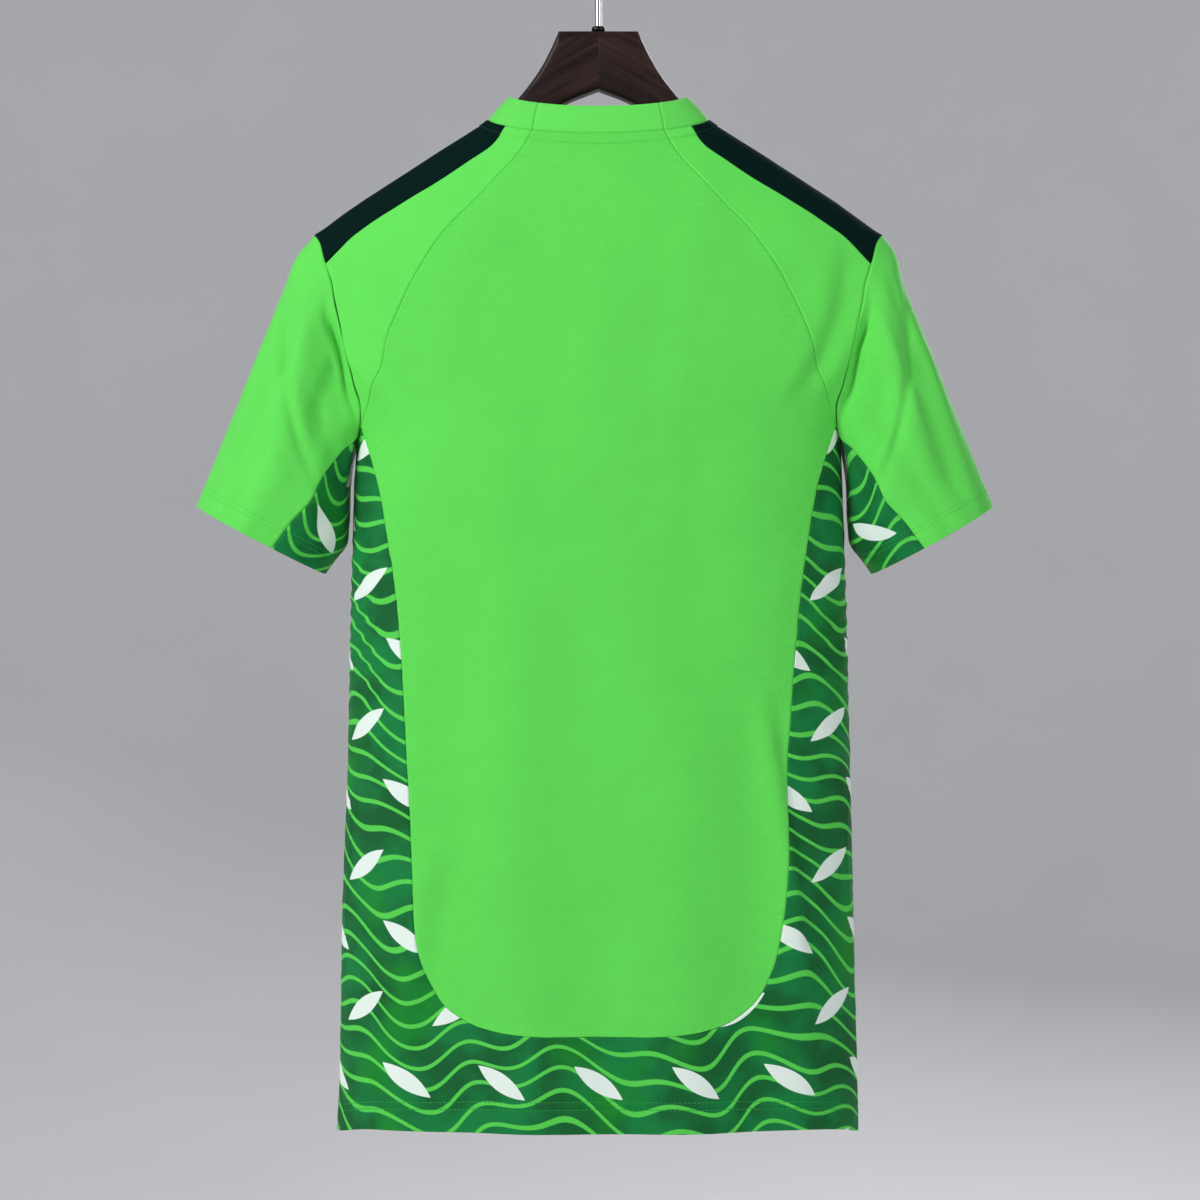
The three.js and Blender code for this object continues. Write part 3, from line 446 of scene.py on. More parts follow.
    def arm_edge(self, start: float, end: float, face: Face = Face.BACK) -> Curve:
        """Part of the right armhole between two angles round it."""
        def places(t: Array) -> Array:
            place = self.armhole_place(mix(start, end, t))
            if face is Face.FRONT:
                place[..., 0] = np.pi - place[..., 0]
            return place
        return places

    def side_seam(self, t: Array) -> Array:
        """Right side seam from the armpit to the hem."""
        corner = np.radians(self.side_turn(np.array(self.hem_z - self.hem_drop)))
        z = mix(self.armhole.pit_z, self.hem_level(corner), t)
        return np.stack([np.radians(self.side_turn(z)), z], -1)


@dataclass
class Sleeve:
    """The right sleeve as a surface of the turn round it and the share from armhole to cuff."""

    body: Body
    narrower: float = 0.0
    blend: float = 0.5
    mean_radius: float = 48.0
    mean_length: float = 220.0
    crease_depth: float = 7.5
    crease_place: float = 0.032
    crease_width: float = 0.021
    softness: Ripple = Ripple(seed=21, height=0.45, shortest=40, longest=90)

    def __post_init__(self) -> None:
        """Makes the curves of the tables."""
        at = SLEEVE_ROWS["at"]
        self.rows = {name: Column(at, values) for name, values in SLEEVE_ROWS.items() if name != "at"}

    def oval(self, angle: Array, at: Array) -> Array:
        """Plain leaning oval between the upper and the underarm edge."""
        rows = {name: column(at) for name, column in self.rows.items()}
        up = (1 + np.cos(angle)) / 2
        x = mix(rows["under_x"], rows["over_x"], up) - self.narrower * up**2 * smooth(at / 0.2)
        z = mix(rows["under_z"], rows["over_z"], up)
        return np.stack([x, -rows["depth"] * np.sin(angle), z], -1)

    def middle(self, at: Array) -> Array:
        """Middle line of the sleeve."""
        rows = {name: column(at) for name, column in self.rows.items()}
        x, z = (rows["over_x"] + rows["under_x"]) / 2, (rows["over_z"] + rows["under_z"]) / 2
        return np.stack([x, np.zeros_like(x), z], -1)

    def folds(self, angle: Array, at: Array) -> Array:
        """Height of the folds, none at the armhole."""
        def off(rows: dict[str, Array]) -> Callable[[int, Array], Array]:
            share = np.clip(at, 0, 1)
            return lambda k, along: angle - np.radians(mix(rows["top"][k], rows["bottom"][k], share))
        large = fold_sum(SLEEVE_FOLDS, off(SLEEVE_FOLDS), at, 4, 3, 1.0)
        small = fold_sum(FINE_SLEEVE_FOLDS, off(FINE_SLEEVE_FOLDS), at, 4, 3, 1.0)
        uneven = self.softness(angle * self.mean_radius, at * self.mean_length)
        return (large + small + uneven) * smooth(at * 12) - self.crease(angle, at)

    def crease(self, angle: Array, at: Array) -> Array:
        """Depth of the sharp crease beside the armhole seam, where the sleeve's weight breaks over it."""
        turn = np.abs(np.degrees(angle) - 360 * np.round(np.degrees(angle) / 360))
        middle = self.crease_place + 0.012 * np.sin(turn / 9)
        across = np.exp(-(((at - middle) / self.crease_width) ** 2)) * smooth(at / 0.012)
        return self.crease_depth * across * smooth((turn - 58) / 30) * smooth((150 - turn) / 30)

    def point(self, angle: Array, at: Array) -> Array:
        """Point of the sleeve: the oval, bent to the armhole's shape over its first half, and its folds."""
        place = self.body.armhole_place(np.degrees(angle))
        hole = self.body.point(place[..., 0], place[..., 1])
        share = np.clip(1 - at / self.blend, 0, None) ** 2
        point = self.oval(angle, at) + (hole - self.oval(angle, np.zeros_like(at))) * share[..., None]
        outward = point - self.middle(at)
        outward /= np.linalg.norm(outward, axis=-1, keepdims=True)
        return point + outward * self.folds(angle, at)[..., None]


# Distances from an edge, in millimetres, where a piece has a line of points of its own
EDGE_LINES = {
    Edge.SEAM: np.array([0.07, 0.4, 0.9, 1.6, 2.6, 3.8]),
    Edge.NECK: np.array([0.07, 0.4, 0.9, 1.8, 3.0, 4.4, 5.8, 6.6, 7.2, 7.7, 8.1, 8.4, 8.8, 9.4, 10.4,
                         12.0]),
    Edge.HEM: np.array([0, 0.12, 0.3, 0.5, 0.9, 1.6, 3, 6, 9, 12, 14.5, 15.9, 16.5, 17.1, 17.7, 18.6, 20,
                        21.4, 22, 22.6, 23.2, 24, 25.4, 28]),
    Edge.CUFF: np.array([0, 0.12, 0.3, 0.5, 0.9, 1.6, 3, 5.5, 8, 10, 11.4, 12, 12.6, 13.2, 14, 14.8, 15.4,
                         16, 16.6, 17.6, 19.6]),
    Edge.FOLD: np.array([0, 0.1, 0.25, 0.5, 0.85, 1.4, 2.6]),
}
# Distance that stands for no edge near
FAR = 99.0
# Distances of the sewn rows from an edge
SEWN_ROWS = {
    Edge.SEAM: (), Edge.FOLD: (), Edge.NECK: (7.2,), Edge.HEM: (17.1, 22.6), Edge.CUFF: (12.6, 16.0),
}


def stations(length: float, step: float, first: Edge, last: Edge) -> Array:
    """Distances along a piece: its edges' own lines at both ends and even steps between them.

    Args:
        length: Length of the piece.
        step: Largest even step.
        first: Kind of its first edge.
        last: Kind of its last edge.

    Returns:
        Rising shares of the length from 0 to 1.
    """
    near = EDGE_LINES[first][EDGE_LINES[first] < 0.45 * length]
    far = EDGE_LINES[last][EDGE_LINES[last] < 0.45 * length]
    count = max(int(np.ceil((length - near[-1] - far[-1]) / step)), 1)
    middle = np.linspace(near[-1], length - far[-1], count + 1)[1:-1]
    return np.concatenate([near, middle, (length - far)[::-1]]) / length


def edge_relief(kind: Edge, distance: Array) -> Array:
    """Height of the cloth near an edge: it turns in at a seam, is raised over the allowance behind it, and
    dips under stitches.

    Args:
        kind: What the edge is.
        distance: Distance of each point from it.

    Returns:
        Height at each point.
    """
    height = np.zeros_like(distance)
    if kind in (Edge.SEAM, Edge.NECK):
        height += 0.16 * np.exp(-(((distance - 2.0) / 1.2) ** 2)) - 0.5 * np.exp(-((distance / 0.75) ** 2))
    if kind is Edge.NECK:
        height += 0.5 * smooth((8.6 - distance) / 0.7) - 0.45 * np.exp(-(((distance - 8.4) / 0.45) ** 2))
        height -= 0.16 * np.exp(-(((distance - SEWN_ROWS[kind][0]) / 0.6) ** 2))
    if kind in (Edge.HEM, Edge.CUFF):
        rows = SEWN_ROWS[kind]
        height += 0.3 * smooth((max(rows) + 1.5 - distance) / 1.5)
        for row in rows:
            height -= 0.34 * np.exp(-(((distance - row) / 0.8) ** 2))
    return height


def normals(points: Array, centre: Array) -> Array:
    """Outward directions of a grid of points: the cross product of its two central differences."""
    across, down = np.gradient(points, axis=1), np.gradient(points, axis=0)
    out = np.cross(down, across)
    out /= np.maximum(np.linalg.norm(out, axis=-1, keepdims=True), 1e-9)
    return out * np.sign(np.sum(out * (points - centre)))


def make_mesh(name: str, points: Array, quads: Array, uv: Optional[Array] = None) -> bpy.types.Object:
    """A mesh of four-sided faces from arrays in millimetres, smooth, with its faces pointing out.

    Args:
        name: The object's name.
        points: One row of three numbers for each point.
        quads: Four point numbers for each face. A repeated one makes a triangle.
        uv: Cloth coordinates of each point, in metres.

    Returns:
        The linked object.
    """
    a, b, c, d = (points[quads[:, k]] for k in range(4))
    volume = np.einsum("ij,ij->i", a, np.cross(b, c)).sum() + np.einsum("ij,ij->i", a, np.cross(c, d)).sum()
    if volume < 0:
        quads = quads[:, ::-1]
    mesh = bpy.data.meshes.new(name)
    mesh.vertices.add(len(points))
    mesh.vertices.foreach_set("co", (points * MM).astype(np.float32).ravel())
    mesh.loops.add(quads.size)
    mesh.loops.foreach_set("vertex_index", quads.astype(np.int32).ravel())
    mesh.polygons.add(len(quads))
    mesh.polygons.foreach_set("loop_start", np.arange(0, quads.size, 4, dtype=np.int32))
    mesh.polygons.foreach_set("use_smooth", np.ones(len(quads), bool))
    if uv is not None:
        layer = mesh.uv_layers.new(name="cloth")
        layer.data.foreach_set("uv", uv[quads.ravel()].astype(np.float32).ravel())
    mesh.validate()
    mesh.update(calc_edges=True)
    made = bpy.data.objects.new(name, mesh)
    bpy.context.scene.collection.objects.link(made)
    return made


def grid_quads(rows: int, columns: int, offset: int = 0, closed: bool = False) -> Array:
    """Faces of a grid of points, closed round its columns where asked."""
    i, j = np.meshgrid(np.arange(rows - 1), np.arange(columns if closed else columns - 1), indexing="ij")
    here, right = i * columns + j, i * columns + (j + 1) % columns
    return np.stack([here, here + columns, right + columns, right], -1).reshape(-1, 4) + offset


@dataclass
class Laid:
    """A piece laid out on the garment's form: its grid of points and what is known at each."""

    points: Array
    centre: Array
    uv: Array
    edges: list[tuple[Edge, Array]]
    wall: float = 0.9

    def rounding(self) -> Array:
        """How far both faces draw in near a folded edge: a quarter circle of half the wall."""
        radius = self.wall / 2
        drawn = np.zeros(self.points.shape[:2])
        for kind, distance in self.edges:
            if kind in (Edge.HEM, Edge.CUFF, Edge.FOLD):
                inside = np.clip(radius - distance, 0, radius)
                drawn = np.maximum(drawn, radius - np.sqrt(radius**2 - inside**2))
        return np.minimum(drawn, radius * 0.96)

    def faces(self) -> tuple[Array, Array]:
        """Outer and inner grids of the wall."""
        relief = sum(edge_relief(kind, distance) for kind, distance in self.edges)
        out = normals(self.points, self.centre)
        drawn = self.rounding()
        outer = self.points + out * (relief - drawn)[..., None]
        return outer, self.points + out * (relief - self.wall + drawn)[..., None]

    def shell(self, name: str, side: int = 1) -> bpy.types.Object:
        """The piece as one closed wall.

        Args:
            name: The piece's name.
            side: 1 for the right side, -1 for its mirror image.

        Returns:
            The object.
        """
        outer, inner = self.faces()
        rows, columns = outer.shape[:2]
        size = rows * columns
        index = np.arange(size).reshape(rows, columns)
        ring = np.concatenate([index[0, :-1], index[:-1, -1], index[-1, :0:-1], index[:0:-1, 0]])
        after = np.roll(ring, -1)
        rim = np.stack([ring, after, after + size, ring + size], -1)
        quads = np.concatenate([grid_quads(rows, columns), grid_quads(rows, columns, size)[:, ::-1], rim])
        points = np.concatenate([outer.reshape(-1, 3), inner.reshape(-1, 3)]) * [side, 1, 1]
        uv = np.tile(self.uv.reshape(-1, 2) * MM * [side, 1], (2, 1))
        return make_mesh(name, points, quads, uv)


def line_at(points: Array, distance: Array, target: float) -> Array:
    """Points at a set distance down each column of a grid, by straight blends between its rows.

    Args:
        points: The grid, rows first.
        distance: Rising distance of each point from the first row.
        target: The distance wanted.

    Returns:
        One point for each column.
    """
    columns = np.arange(points.shape[1])
    row = np.clip((distance < target).sum(0) - 1, 0, len(points) - 2)
    near, far = distance[row, columns], distance[row + 1, columns]
    share = (target - near) / np.maximum(far - near, 1e-6)
    return mix(points[row, columns], points[row + 1, columns], share[:, None])


def travelled(points: Array, axis: int) -> Array:
    """Distance along each line of a grid from its first point."""
    steps = np.linalg.norm(np.diff(points, axis=axis), axis=-1)
    total = np.cumsum(steps, axis=axis)
    return np.concatenate([np.zeros_like(total.take([0], axis)), total], axis)


@dataclass(frozen=True)
class Thread:
    """Sewing thread: short humped stitches, one after another."""

    length: float = 2.5
    gap: float = 0.75
    radius: float = 0.27
    sides: int = 6

    def along(self, line: Array, outward: Array) -> tuple[Array, Array]:
        """Stitches along a line: rings of a bent capsule, carried along the line.

        Args:
            line: Points of the line.
            outward: Outward direction at each.

        Returns:
            Points and four-sided faces.
        """
        run = travelled(line, 0)
        pitch = self.length + self.gap
        count = max(int(run[-1] / pitch), 1)
        reach = np.array([-0.5, -0.44, -0.25, 0, 0.25, 0.44, 0.5])
        size = np.array([0.05, 0.7, 0.97, 1, 0.97, 0.7, 0.05]) * self.radius
        lift = np.array([-0.22, -0.05, 0.1, 0.15, 0.1, -0.05, -0.22])
        at = ((np.arange(count) + 0.5) * run[-1] / count)[:, None] + reach * self.length
        centre = np.stack([np.interp(at, run, line[:, k]) for k in range(3)], -1)
        out = np.stack([np.interp(at, run, outward[:, k]) for k in range(3)], -1)
        ahead = np.gradient(centre, axis=1)
        aside = np.cross(ahead, out)
        aside /= np.linalg.norm(aside, axis=-1, keepdims=True)
        turn = np.linspace(0, 2 * np.pi, self.sides, endpoint=False)
        ring = aside[:, :, None] * np.cos(turn)[:, None] + out[:, :, None] * np.sin(turn)[:, None]
        points = centre[:, :, None] + out[:, :, None] * lift[:, None, None] + ring * size[:, None, None]
        one = len(reach) * self.sides
        quads = grid_quads(len(reach), self.sides, closed=True)
        every = (quads[None] + one * np.arange(count)[:, None, None]).reshape(-1, 4)
        return points.reshape(-1, 3), every


@dataclass
class Sewing:
    """All stitches of one seam or hem, gathered from the pieces that it runs over."""

    name: str
    finish: str
    thread: Thread = field(default_factory=Thread)
    parts: list[tuple[Array, Array]] = field(default_factory=list)

    def add(self, outer: Array, centre: Array, distance: Array, kind: Edge, side: int = 1) -> None:
        """Adds the sewn rows of a hem or neck edge, which lies along the grid's first row."""
        out = normals(outer, centre)
        for row in SEWN_ROWS[kind]:
            line = line_at(outer, distance, row)
            points, quads = self.thread.along(line, line_at(out, distance, row))
            self.parts.append((points * [side, 1, 1], quads))

    def build(self) -> bpy.types.Object:
        """The stitches as one mesh."""
        starts = np.cumsum([0] + [len(points) for points, _ in self.parts[:-1]])
        quads = np.concatenate([quads + start for (_, quads), start in zip(self.parts, starts)])
        return make_mesh(self.name, np.concatenate([points for points, _ in self.parts]), quads)


@dataclass
class BodyPiece:
    """A piece cut for the trunk, between two long edges, with its own start and end edges."""

    name: str
    slot: Slot
    flat: tuple[float, float]
    area: float
    edge_a: Curve
    edge_b: Curve
    first: Edge = Edge.SEAM
    last: Edge = Edge.SEAM
    side_b: Edge = Edge.SEAM
    start: Optional[Curve] = None
    end: Optional[Curve] = None
    ease: float = 1.0
    stops: tuple[float, ...] = ()
    step: float = 2.9

    def places(self, t: Array, k: Array) -> Array:
        """Places of the piece: straight from edge to edge, bent to its start and end edges near them.

        Args:
            t: Share down the piece, one for each row.
            k: Share across it, for each row.

        Returns:
            Turn and level at each.
        """
        k = (1 - (1 - k) ** self.ease)[..., None]
        a, b = self.edge_a(t)[:, None], self.edge_b(t)[:, None]
        place = mix(a, b, k)
        for curve, row, share in ((self.start, 0.0, (1 - t) ** 4), (self.end, 1.0, t**4)):
            if curve:
                ends = np.array([row])
                straight = mix(self.edge_a(ends), self.edge_b(ends), k)
                place = place + (curve(k[..., 0]) - straight) * share[:, None, None]
        return place

    def lay(self, body: Body) -> Laid:
        """Lays the piece out on the trunk, with lines of points along its edges and its sewn rows."""
        coarse = np.linspace(0, 1, 81)
        rough = self.places(coarse, np.tile(coarse, (81, 1)))
        rough = body.point(rough[..., 0], rough[..., 1])
        down = travelled(rough[:, 40:41], 0)[:, 0]
        t = np.interp(stations(down[-1], self.step, self.first, self.last) * down[-1], down, coarse)
        for stop in self.stops:
            t[np.abs(t - stop).argmin()] = stop
        width = np.interp(t, coarse, travelled(rough, 1)[:, -1])
        near, far = EDGE_LINES[Edge.SEAM], EDGE_LINES[self.side_b]
        even = np.linspace(0, 1, max(int((width.max() - near[-1] - far[-1]) / self.step), 2) + 1)[1:-1]
        first = near / np.maximum(width, near[-1] / 0.42)[:, None]
        last = 1 - far[::-1] / np.maximum(width, far[-1] / 0.42)[:, None]
        k = np.concatenate([first, mix(first[:, -1:], last[:, :1], even), last], 1)
        place = self.places(t, k)
        turn, z = place[..., 0], place[..., 1]
        points = body.point(turn, z)
        centre = points * [0, 0, 1]
        rows, columns = travelled(points, 0), travelled(points, 1)
        edges = [(Edge.SEAM, columns + near[0])]
        edges.append((self.first, rows + EDGE_LINES[self.first][0]))
        edges.append((self.last, rows[-1] - rows + EDGE_LINES[self.last][0]))
        to_b = columns[:, -1:] - columns + far[0]
        if self.side_b is Edge.HEM:
            on_hem = (np.abs(t - 0.5) < 0.5 - self.stops[0])[:, None]
            edges.append((Edge.HEM, np.where(on_hem, to_b, FAR)))
            edges.append((Edge.SEAM, np.where(on_hem, FAR, to_b + 0.15)))
        else:
            edges.append((Edge.SEAM, to_b))
        across = body.cloth_across(turn, z)
        return Laid(points, centre, np.stack([across, z], -1), edges)


def mirrored(curve: Curve) -> Curve:
    """The same edge on the other side."""
    return lambda t: curve(t) * [-1, 1]


def joined(*parts: tuple[float, Curve]) -> Curve:
    """One edge from several, each given with the share where it ends."""
    stops = [0.0] + [stop for stop, _ in parts]

    def places(t: Array) -> Array:
        out = np.zeros((len(t), 2))
        for (stop, curve), start in zip(parts, stops):
            inside = (t >= start) & (t <= stop)
            out[inside] = curve((t[inside] - start) / (stop - start))
        return out
    return places


def there_and_back(curve: Curve) -> Curve:
    """A left edge down to the middle and the same edge up again on the right."""
    def places(t: Array) -> Array:
        own = curve(np.minimum(t, 1 - t) * 2)
        return own * np.stack([np.where(t < 0.5, -1, 1), np.ones_like(t)], -1)
    return places


@dataclass
class Trunk:
    """The pieces of the trunk: centre back, printed U, front, and the shoulders' yokes and stripes."""

    body: Body

    def neck_span(self, start: float, end: float) -> Curve:
        """Stretch of the neckline between two neck angles."""
        return lambda k: self.body.neck_place(mix(start, end, k))

    def pieces(self) -> list[BodyPiece]:
        """All pieces of the trunk, in the order they are sewn."""
        return [self.centre_back(), self.surround(), self.front(), *self.shoulder(1), *self.shoulder(-1)]

    def centre_back(self) -> BodyPiece:
        """The large plain centre back with its rounded lower corners."""
        body = self.body
        neck = body.neck_angle(BACK_RAGLAN["x"][0])
        right = joined((1 / 3, body.seam(BACK_RAGLAN)), (1.0, body.seam(CENTRE_BACK)))
        return BodyPiece("back_panel_cloth", Slot.GREEN_MESH, (0.36, 0.66), 0.171, mirrored(right), right,
                         first=Edge.NECK, start=self.neck_span(-neck, neck), stops=(1 / 3,))

    def surround(self) -> BodyPiece:
        """The printed U: down one side of the centre back, along the hem and up the other side."""
        body = self.body
        inner_turn = float(body.seam(CENTRE_BACK)(np.array([1.0]))[0, 0])
        flat_z = CENTRE_BACK["z"][-1]
        corner = float(body.side_seam(np.array([1.0]))[0, 0])
        inner_stop, outer_stop = 28 / 30, 17 / 30

        def flat_edge(t: Array) -> Array:
            return np.stack([inner_turn * (1 - t), np.full_like(t, flat_z)], -1)

        def hem(t: Array) -> Array:
            turn = corner * (1 - t)
            return np.stack([turn, body.hem_level(turn)], -1)

        def armpit(k: Array) -> Array:
            place = body.armhole_place(mix(body.armhole.raglan_end, 180.0, k))
            join = body.armhole_place(np.array(body.armhole.raglan_end))
            first = body.seam(CENTRE_BACK)(np.array([0.0]))[0]
            return place + (first - join) * ((1 - k) ** 4)[..., None]

        inner = there_and_back(joined((inner_stop, body.seam(CENTRE_BACK)), (1.0, flat_edge)))
        outer = there_and_back(joined((outer_stop, body.side_seam), (1.0, hem)))
        return BodyPiece("back_surround_cloth", Slot.PRINTED_KNIT, (0.38, 0.50), 0.0747, inner, outer,
                         side_b=Edge.HEM, start=lambda k: armpit(k) * [-1, 1], end=armpit,
                         stops=(outer_stop / 2, 0.5, 1 - outer_stop / 2))

    def front(self) -> BodyPiece:
        """The whole front, one piece of the printed cloth."""
        body = self.body
        neck = np.pi - body.neck_angle(FRONT_RAGLAN["x"][0])
        stops = (14 / 34, 17 / 34)
        right = joined((stops[0], body.seam(FRONT_RAGLAN, Face.FRONT, 0.22)),
                       (stops[1], body.arm_edge(body.armhole.raglan_end, 180.0, Face.FRONT)),
                       (1.0, body.side_seam))
        corner = float(body.side_seam(np.array([1.0]))[0, 0])

        def hem(k: Array) -> Array:
            turn = mix(corner, 2 * np.pi - corner, k)
            return np.stack([turn, body.hem_level(turn)], -1)

        def neckline(k: Array) -> Array:
            place = body.neck_place(mix(neck, 2 * np.pi - neck, k))
            return np.stack([place[..., 0] % (2 * np.pi), place[..., 1]], -1)
        return BodyPiece("front_panel_cloth", Slot.PRINTED_KNIT, (0.46, 0.66), 0.252, right,
                         lambda t: right(t) * [-1, 1] + [2 * np.pi, 0], first=Edge.NECK, last=Edge.HEM,
                         start=neckline, end=hem, stops=stops, step=3.4)

    def shoulder(self, side: int) -> list[BodyPiece]:
        """Back yoke, front yoke and stripe of one shoulder."""
        body, hole = self.body, self.body.armhole
        raglan, stripe = body.neck_angle(BACK_RAGLAN["x"][0]), body.neck_angle(STRIPE_EDGE["x"][0])
        name = "right" if side > 0 else "left"

        def own(curve: Curve) -> Curve:
            return curve if side > 0 else mirrored(curve)

        yoke = BodyPiece(f"back_yoke_{name}_cloth", Slot.GREEN_KNIT, (0.10, 0.24), 0.0081,
                         own(body.seam(BACK_RAGLAN)),
                         own(joined((0.5, body.seam(STRIPE_EDGE)),
                                    (1.0, body.arm_edge(hole.stripe_end, hole.raglan_end)))),
                         first=Edge.NECK, start=own(self.neck_span(raglan, stripe)), stops=(0.5,), step=2.2)
        armhole = body.arm_edge(0, hole.raglan_end, Face.FRONT)
        front = BodyPiece(f"front_yoke_{name}_cloth", Slot.GREEN_KNIT, (0.15, 0.26), 0.0182,
                          own(body.seam(FRONT_RAGLAN, Face.FRONT, 0.22)),
                          own(joined((0.5, body.ridge), (1.0, armhole))), first=Edge.NECK,
                          start=own(self.neck_span(np.pi - raglan, np.pi / 2)), ease=1.6, stops=(0.5,),
                          step=2.5)
        band = BodyPiece(f"shoulder_stripe_{name}_cloth", Slot.STRIPE_KNIT, (0.045, 0.165), 0.0060,
                         own(body.seam(STRIPE_EDGE)), own(body.ridge), first=Edge.NECK,
                         start=own(self.neck_span(stripe, np.pi / 2)),
                         end=own(lambda k: body.armhole_place(hole.stripe_end * (1 - k))), ease=1.6,
                         step=2.2)
        return [yoke, front, band]


@dataclass
class SleevePiece:
    """A piece of the right sleeve between two turns round it, also made mirrored for the left."""

    name: str
    slot: Slot
    flat: tuple[float, float]
    area: float
    edge_a: Callable[[Array], Array]
    edge_b: Callable[[Array], Array]
    step: float = 2.4

    def lay(self, sleeve: Sleeve) -> Laid:
        """Lays the piece out on the sleeve, rows from the armhole to the cuff."""
        coarse = np.linspace(0, 1, 61)
        ends = np.stack([self.edge_a(coarse), self.edge_b(coarse)])
        turns = mix(ends[0][:, None], ends[1][:, None], coarse)
        rough = sleeve.point(turns, np.tile(coarse[:, None], (1, 61)))
        down = travelled(rough[:, 30:31], 0)[:, 0]
        at = np.interp(stations(down[-1], self.step, Edge.SEAM, Edge.CUFF) * down[-1], down, coarse)
        width = np.interp(at, coarse, travelled(rough, 1)[:, -1])
        near = EDGE_LINES[Edge.SEAM]
        even = np.linspace(0, 1, max(int((width.max() - 2 * near[-1]) / self.step), 2) + 1)[1:-1]
        first = near / np.maximum(width, near[-1] / 0.42)[:, None]
        k = np.concatenate([first, mix(first[:, -1:], 1 - first[:, -1:], even), 1 - first[:, ::-1]], 1)
        angle = mix(self.edge_a(at)[:, None], self.edge_b(at)[:, None], k)
        share = np.tile(at[:, None], (1, k.shape[1]))
        points = sleeve.point(angle, share)
        rows, columns = travelled(points, 0), travelled(points, 1)
        middle = columns[:, k.shape[1] // 2, None]
        edges = [(Edge.SEAM, columns + near[0]), (Edge.SEAM, columns[:, -1:] - columns + near[0]),
                 (Edge.SEAM, rows + near[0]), (Edge.CUFF, rows[-1] - rows)]
        return Laid(points, sleeve.middle(share), np.stack([columns - middle, -rows], -1), edges)


@dataclass
class NeckBand:
    """A stretch of the folded stand band round the neck."""

    name: str
    flat: tuple[float, float]
    area: float
    start: float
    end: float
    body: Body
    rows: int = 14
    step: float = 2.0
    bulge: float = 0.55

    def lay(self) -> Laid:
        """The band as a grid: from the neckline up along a rise that leans in, with a soft bulge."""
        neck = self.body.neck
        fine = np.linspace(self.start, self.end, 400)
        base = self.body.point(*np.moveaxis(self.body.neck_place(fine), -1, 0))
        run = travelled(base, 0)
        angle = np.interp(stations(run[-1], self.step, Edge.SEAM, Edge.SEAM) * run[-1], run, fine)[None]
        tall = np.hypot(neck.band_height + neck.band_extra, neck.band_slope_in) * 0.85
        up = stations(tall, tall / self.rows, Edge.SEAM, Edge.FOLD)[:, None]
        angle = angle + np.radians(neck.join_lean) * up * np.where(np.cos(angle) > 0, np.sin(2 * angle), 0)
        base = self.body.point(*np.moveaxis(self.body.neck_place(angle), -1, 0))
        rise = np.stack([-neck.band_slope_in * np.sin(angle), neck.band_lean * np.cos(angle),
                         neck.band_height + neck.band_extra * np.abs(np.cos(angle))], -1)
        points = base + rise * up[..., None]
        centre = points * [0, 0, 1]
        points = points + normals(points, centre) * (self.bulge * np.sin(np.pi * up))[..., None]
        high, along = travelled(points, 0), travelled(points, 1)
        edges = [(Edge.SEAM, high + 0.15), (Edge.FOLD, high[-1] - high), (Edge.SEAM, along + 0.15),
                 (Edge.SEAM, along[:, -1:] - along + 0.15)]
        return Laid(points, centre, np.stack([along - along[:, -1:] / 2, high], -1), edges, neck.band_wall)


